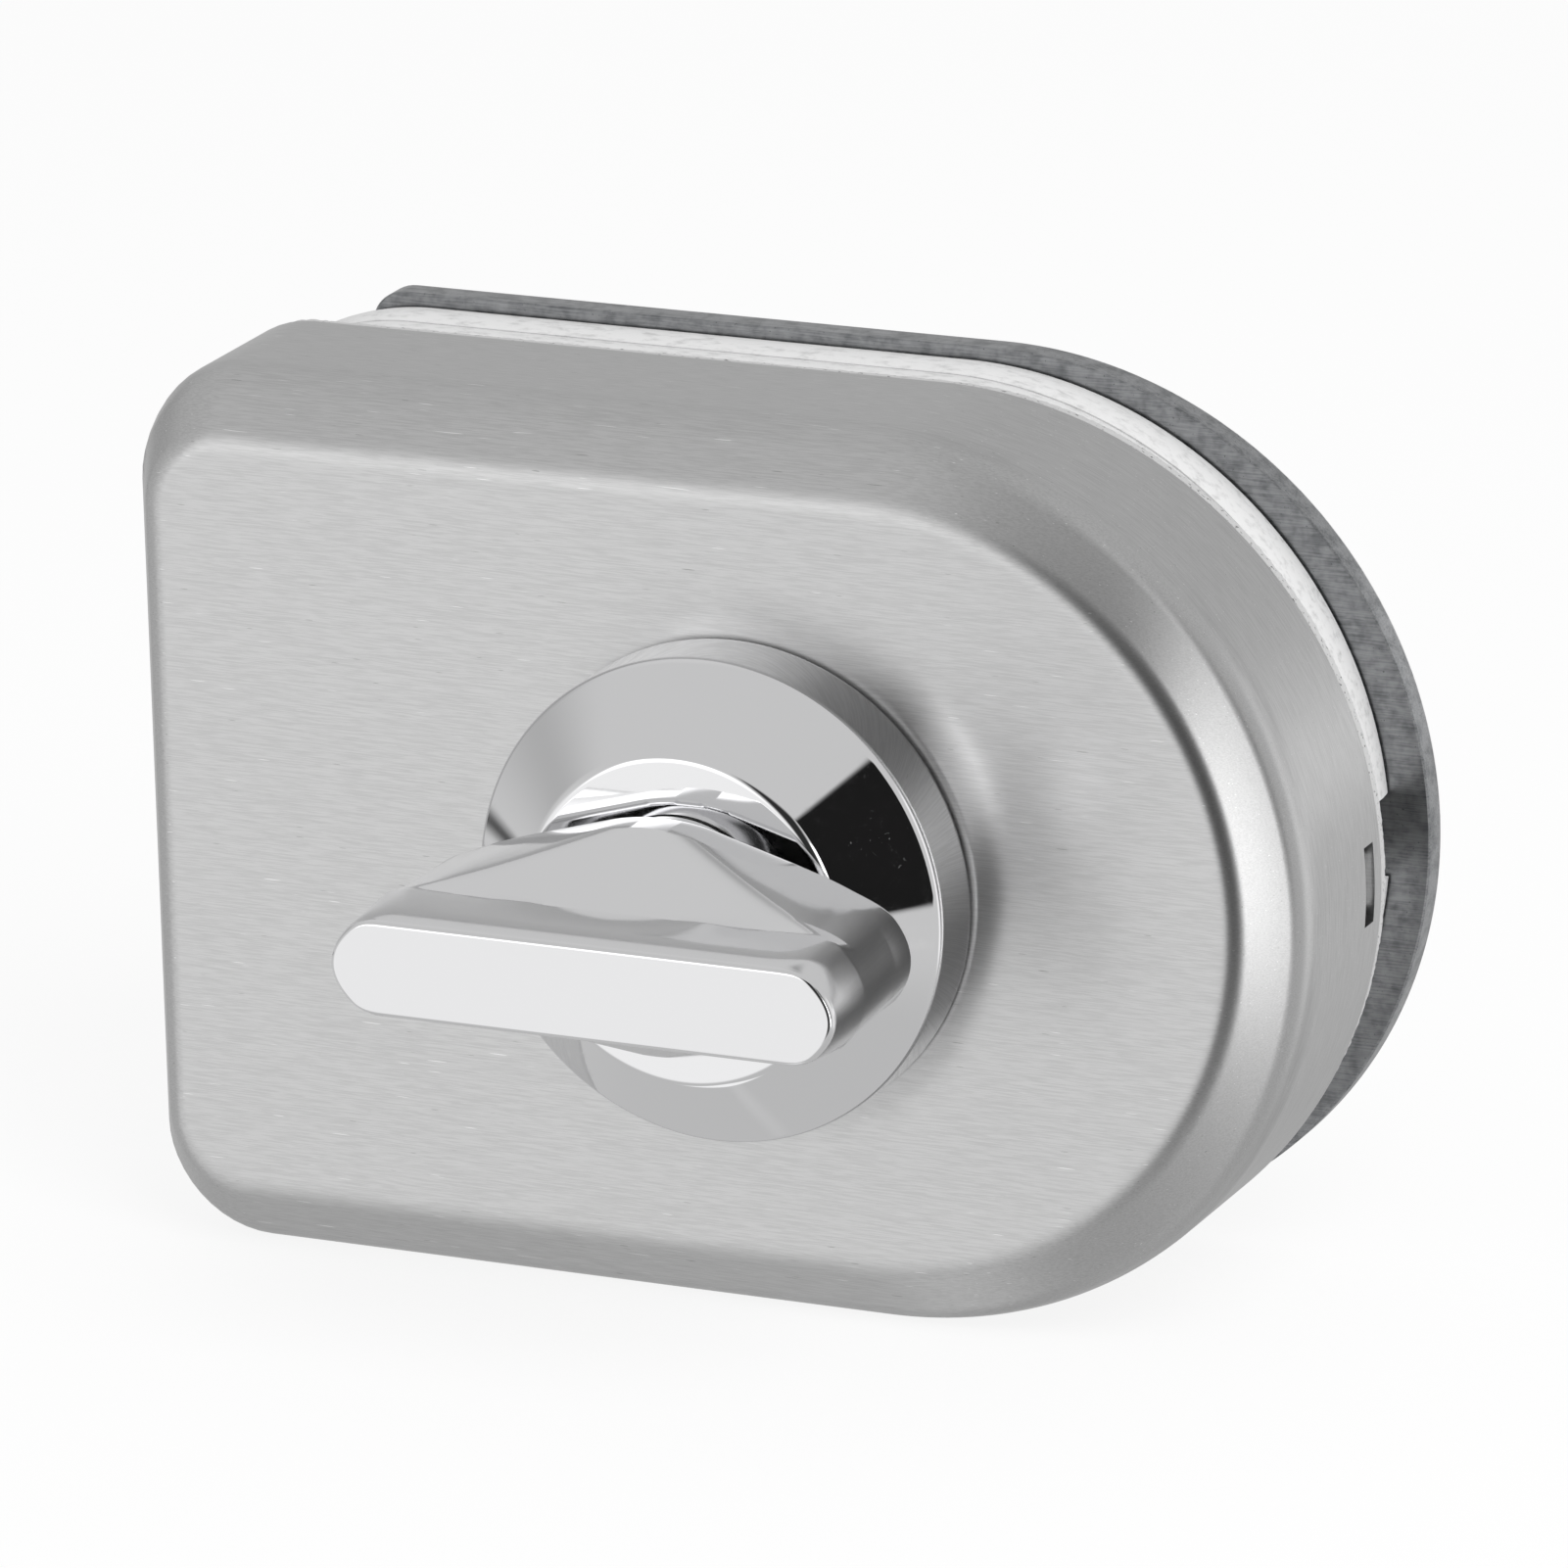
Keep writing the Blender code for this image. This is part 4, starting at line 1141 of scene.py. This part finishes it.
@dataclass
class ClampScrews:
    """The three countersunk screws, placed as instances of one screw."""

    radius: float = 0.0025
    head_radius: float = 0.0047
    head_y: float = 0.0299
    tip_y: float = 0.0097
    key_width: float = 0.0030
    key_depth: float = 0.0017
    pitch: float = 0.0008
    thread_depth: float = 0.00012
    thread_length: float = 0.0062
    tip: float = 0.0004
    chamfer: float = 0.0001
    turned_steps: int = 48

    def profile(self) -> list[Point]:
        """The screw's outline.

        Returns:
            Radius and depth, from the threaded tip to the flat head.
        """
        root = self.radius - self.thread_depth
        points = [(self.radius - self.tip, 0.0), (root, self.tip)]
        for turn in range(int(self.thread_length / self.pitch)):
            start = self.tip + turn * self.pitch
            points += [
                (root, start + 0.1 * self.pitch),
                (self.radius, start + 0.45 * self.pitch),
                (self.radius, start + 0.55 * self.pitch),
                (root, start + 0.9 * self.pitch),
            ]
        length = self.head_y - self.tip_y
        return points + [
            (self.radius, self.thread_length + self.pitch),
            (self.radius, length - (self.head_radius - self.radius)),
            (self.head_radius - self.chamfer, length - self.chamfer),
            (self.head_radius - 2 * self.chamfer, length),
        ]

    def pattern_screw(self) -> Item:
        """One screw at the origin, its tip towards -Y.

        Returns:
            The screw.
        """
        axis, length = (0.0, 0.0), self.head_y - self.tip_y
        screw = loft("pattern_screw", [
            (circle(axis, radius, self.turned_steps), depth) for radius, depth in self.profile()
        ])
        ends = (length - self.key_depth, 2 * length)
        cut(screw, rod("key_tool", axis, self.key_width / math.sqrt(3), 6, ends))
        return screw

    def tree(self, screw: Item, material: Material) -> Tree:
        """A tree that puts the screw on every point of its mesh.

        Args:
            screw: The screw that is repeated.
            material: What it is made of.

        Returns:
            The tree, with a named input for the screws' size.
        """
        tree = bpy.data.node_groups.new("screws_on_points", "GeometryNodeTree")
        for name, way, kind in (
            ("Geometry", "INPUT", "NodeSocketGeometry"),
            ("Screw Scale", "INPUT", "NodeSocketFloat"),
            ("Geometry", "OUTPUT", "NodeSocketGeometry"),
        ):
            tree.interface.new_socket(name, in_out=way, socket_type=kind)
        source = add_node(tree, "NodeGroupInput")
        info = add_node(tree, "GeometryNodeObjectInfo", {"Object": screw})
        points = add_node(tree, "GeometryNodeMeshToPoints", {"Mesh": source.outputs["Geometry"]})
        placed = add_node(tree, "GeometryNodeInstanceOnPoints", {
            "Points": points.outputs[0],
            "Instance": info.outputs["Geometry"],
            "Scale": source.outputs["Screw Scale"],
        })
        real = add_node(tree, "GeometryNodeRealizeInstances", {0: placed.outputs[0]})
        links = {"Geometry": real.outputs[0], "Material": material}
        dressed = add_node(tree, "GeometryNodeSetMaterial", links)
        add_node(tree, "NodeGroupOutput", {0: dressed.outputs[0]})
        return tree

    def dress(self) -> None:
        """Place the screws and put them in the solids' place."""
        screw = self.pattern_screw()
        mesh = bmesh.new()
        for x, z in SIZES.screws:
            mesh.verts.new((x, self.tip_y, z))
        holder = new_object("clamp_screw_set", mesh)
        modifier = holder.modifiers.new("Screws", "NODES")
        modifier.node_group = self.tree(screw, SCREW_STEEL.material())
        for item in modifier.node_group.interface.items_tree:
            if item.name == "Screw Scale":
                modifier[item.identifier] = 1.0
        bake(holder)
        bpy.data.objects.remove(screw, do_unlink=True)
        nodes = tuple(f"clamp_screw_{number}" for number in range(1, len(SIZES.screws) + 1))
        settle(holder, SCREW_STEEL, Body.LOCK, nodes, smooth=40)


@dataclass
class SolidPieces:
    """The solids whose shape is right, each with its finish."""

    pieces: tuple[tuple[Finish, tuple[str, ...]], ...] = (
        (NYLON, ("turn_bush", "bolt_guide", "clamp_sleeve_1", "clamp_sleeve_2", "clamp_sleeve_3")),
        (SCREW_STEEL, (
            "rosette_washer", "rosette_nut", "retaining_ring", "spindle", "pinion", "deadbolt",
            "stop_pin", "friction_spring", "catch_screw",
            "lid_screw_1", "lid_screw_2", "lid_screw_3", "lid_screw_4",
        )),
        (CASTING, ("lock_base",)),
        (PLATE_STEEL, ("case_lid",)),
        (BRONZE, ("pinion_bush_front", "pinion_bush_rear")),
        (CATCH_PLATE, ("cover_catch",)),
    )

    def dress(self, nodes: dict[str, Item]) -> None:
        """Give every kept solid its finish.

        Args:
            nodes: The frame's solids by name.
        """
        for finish, names in self.pieces:
            for name in names:
                for material_slot in nodes[name].material_slots:
                    material_slot.material = finish.material()
                log.info("%s is %s", name, finish.name)


@dataclass(frozen=True)
class Card:
    """One light or dark card of the studio, as the lock's metal mirrors it."""

    azimuth: float
    elevation: float
    half_width: float
    half_height: float
    level: float
    soft: float = 6.0
    roll: float = 0.0


@dataclass
class Studio:
    """Floor, camera, lamp and the soft surroundings."""

    azimuth: float = 24.609
    elevation: float = 17.505
    roll: float = -1.447
    distance: float = 0.923065
    focus_x: float = 0.055595
    focus_z: float = 0.008058
    focal_pixels: float = 12310.6
    image_pixels: float = 1601
    sensor: float = 36.0
    clip: Point = (0.05, 50.0)
    base_level: float = 0.62
    matt_level: float = 0.62
    floor_size: float = 6.0
    floor_share: float = 0.86
    lamp_size: float = 0.6
    lamp_power: float = 5.5
    lamp_place: Triple = (0.55, -0.45, 0.75)
    cards: tuple[Card, ...] = (
        Card(0, -90, 50, 50, 0.54, 15),  # the table under the lock
        Card(150, 0, 30, 7, 1.05, 8),
        Card(158, -22, 25, 12, 0.72, 8),
        Card(-32, -22, 27, 22, 0.96, 9),
        Card(-25, 7, 14, 9, 1.8, 6),
        Card(-98, -9, 8, 1.5, 0.10, 1.5),
        Card(-155, 60, 12, 5, 0.25, 6),
        Card(-52, -73, 8, 8, 1.0, 3),
        Card(13, 0, 17, 32, 0.03, 5),
        Card(-98, 14, 20, 12, 0.45, 12),
        Card(-110, 60, 22, 14, 0.66, 10),
        Card(42, -3, 6.0, 22, 3.0, 2.5, 14),  # the bevel's bright sheen at the round end
        Card(50, 12.5, 7.0, 23.5, 0.012, 1.2, 18),  # the black wedge on the rosette's cone
        Card(100, 0, 12, 30, 1.0, 6),
    )

    def camera(self) -> None:
        """Place the camera at the photograph's angle."""
        back, right, up = basis(self.azimuth, self.elevation, self.roll)
        target = SIZES.place + Vector((self.focus_x, 0.0, self.focus_z))
        turn = Matrix((right, up, back)).transposed().to_4x4()
        data = bpy.data.cameras.new("photo_camera")
        data.sensor_width = self.sensor
        data.sensor_fit = "HORIZONTAL"
        data.lens = self.sensor * self.focal_pixels / self.image_pixels
        data.clip_start, data.clip_end = self.clip
        item = bpy.data.objects.new("photo_camera", data)
        item.matrix_world = Matrix.Translation(target + back * self.distance) @ turn
        bpy.context.collection.objects.link(item)
        bpy.context.scene.camera = item

    def floor(self) -> None:
        """Lay a plain white floor that keeps the lock's shadow."""
        half = self.floor_size / 2
        mesh = bmesh.new()
        corners = ((-half, -half), (half, -half), (half, half), (-half, half))
        mesh.faces.new([mesh.verts.new((x, y, 0.0)) for x, y in corners])
        floor = new_object("studio_floor", mesh)
        floor.data.materials.append(self.floor_paper())
        floor.visible_glossy = False

    def floor_paper(self) -> Material:
        """White paper, which looks nearly white from anywhere and keeps the lock's shadow.

        Returns:
            The paper's material.
        """
        paper = Finish("white_paper", "studio_paper", "ffffff", 0.0, 0.9).material()
        tree = paper.node_tree
        links = {0: self.seen(tree), 1: self.floor_share}
        share = add_node(tree, "ShaderNodeMath", links, operation="MULTIPLY").outputs[0]
        links = {"Color": linear("ffffff"), "Strength": 1.0}
        white = add_node(tree, "ShaderNodeEmission", links).outputs[0]
        lit = tree.nodes["Principled BSDF"].outputs[0]
        mix = add_node(tree, "ShaderNodeMixShader", {0: share, 1: lit, 2: white})
        tree.links.new(mix.outputs[0], tree.nodes["Material Output"].inputs["Surface"])
        return paper

    def seen(self, tree: Tree) -> Socket:
        """One for rays of the camera, of metal and of glass.

        Args:
            tree: The tree that asks.

        Returns:
            One for such rays and zero for those that light matt surfaces.
        """
        path = add_node(tree, "ShaderNodeLightPath").outputs
        links = {0: path["Is Camera Ray"], 1: path["Is Glossy Ray"]}
        metal = add_node(tree, "ShaderNodeMath", links, operation="MAXIMUM")
        links = {0: metal.outputs[0], 1: path["Is Transmission Ray"]}
        return add_node(tree, "ShaderNodeMath", links, operation="MAXIMUM").outputs[0]

    def card_mask(self, tree: Tree, direction: Socket, card: Card) -> Socket:
        """How far a direction lies inside a card.

        Args:
            tree: The world's tree.
            direction: The direction that is looked at.
            card: The card.

        Returns:
            One inside the card and zero outside it.
        """
        reaches = []
        for axis in basis(card.azimuth, card.elevation, card.roll):
            links = {0: direction, 1: tuple(axis)}
            dot = add_node(tree, "ShaderNodeVectorMath", links, operation="DOT_PRODUCT")
            reaches.append(dot.outputs["Value"])
        ahead, right, up = reaches
        links = {0: ahead, 1: 0.0}
        mask = add_node(tree, "ShaderNodeMath", links, operation="GREATER_THAN").outputs[0]
        for side, half in ((right, card.half_width), (up, card.half_height)):
            links = {0: side, 1: ahead}
            angle = add_node(tree, "ShaderNodeMath", links, operation="ARCTAN2").outputs[0]
            size = add_node(tree, "ShaderNodeMath", {0: angle}, operation="ABSOLUTE").outputs[0]
            inner = math.radians(max(half - card.soft, 0.0))
            outer = math.radians(half + card.soft)
            links = {0: mask, 1: band(tree, size, inner, outer, (1.0, 0.0))}
            mask = add_node(tree, "ShaderNodeMath", links, operation="MULTIPLY").outputs[0]
        return mask

    def surroundings(self) -> None:
        """Make the soft surroundings, with a white background for the camera."""
        world = bpy.data.worlds.new("studio")
        bpy.context.scene.world = world
        world.use_nodes = True
        tree = world.node_tree
        tree.nodes.clear()
        direction = add_node(tree, "ShaderNodeTexCoord").outputs["Generated"]
        level = add_node(tree, "ShaderNodeValue").outputs[0]
        level.default_value = self.base_level
        for card in self.cards:
            links = {0: self.card_mask(tree, direction, card), 2: level, 3: card.level}
            level = add_node(tree, "ShaderNodeMix", links, data_type="FLOAT").outputs[0]
        camera = add_node(tree, "ShaderNodeLightPath").outputs["Is Camera Ray"]
        links = {0: camera, 2: level, 3: 1.0}
        picture = add_node(tree, "ShaderNodeMix", links, data_type="FLOAT").outputs[0]
        links = {0: self.seen(tree), 2: self.matt_level, 3: picture}
        strength = add_node(tree, "ShaderNodeMix", links, data_type="FLOAT").outputs[0]
        links = {"Color": linear("ffffff"), "Strength": strength}
        background = add_node(tree, "ShaderNodeBackground", links)
        add_node(tree, "ShaderNodeOutputWorld", {"Surface": background.outputs[0]})

    def lamp(self) -> None:
        """Hang one soft lamp above and to the right, for the shadow and the matt pieces."""
        data = bpy.data.lights.new("soft_lamp", "AREA")
        data.shape = "DISK"
        data.size = self.lamp_size
        data.energy = self.lamp_power
        item = bpy.data.objects.new("soft_lamp", data)
        place = Vector(self.lamp_place)
        item.location = place
        item.rotation_euler = place.to_track_quat("Z", "Y").to_euler()
        item.visible_glossy = False
        bpy.context.collection.objects.link(item)

    def build(self) -> None:
        """Set up the whole studio."""
        self.camera()
        self.floor()
        self.surroundings()
        self.lamp()
        bpy.context.scene.view_settings.view_transform = "Standard"


def main() -> None:
    """Load the frame and dress the lock."""
    logging.basicConfig(level=logging.INFO, format="%(name)s: %(message)s")
    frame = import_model()
    Studio().build()
    Cover().dress()
    BaseFlange().dress()
    GlassSeats().dress()
    RearPlate().dress()
    Rosette().dress()
    ThumbTurn().dress()
    ClampScrews().dress()
    SolidPieces().dress(frame["nodes"])


if __name__ == "__main__":
    main()
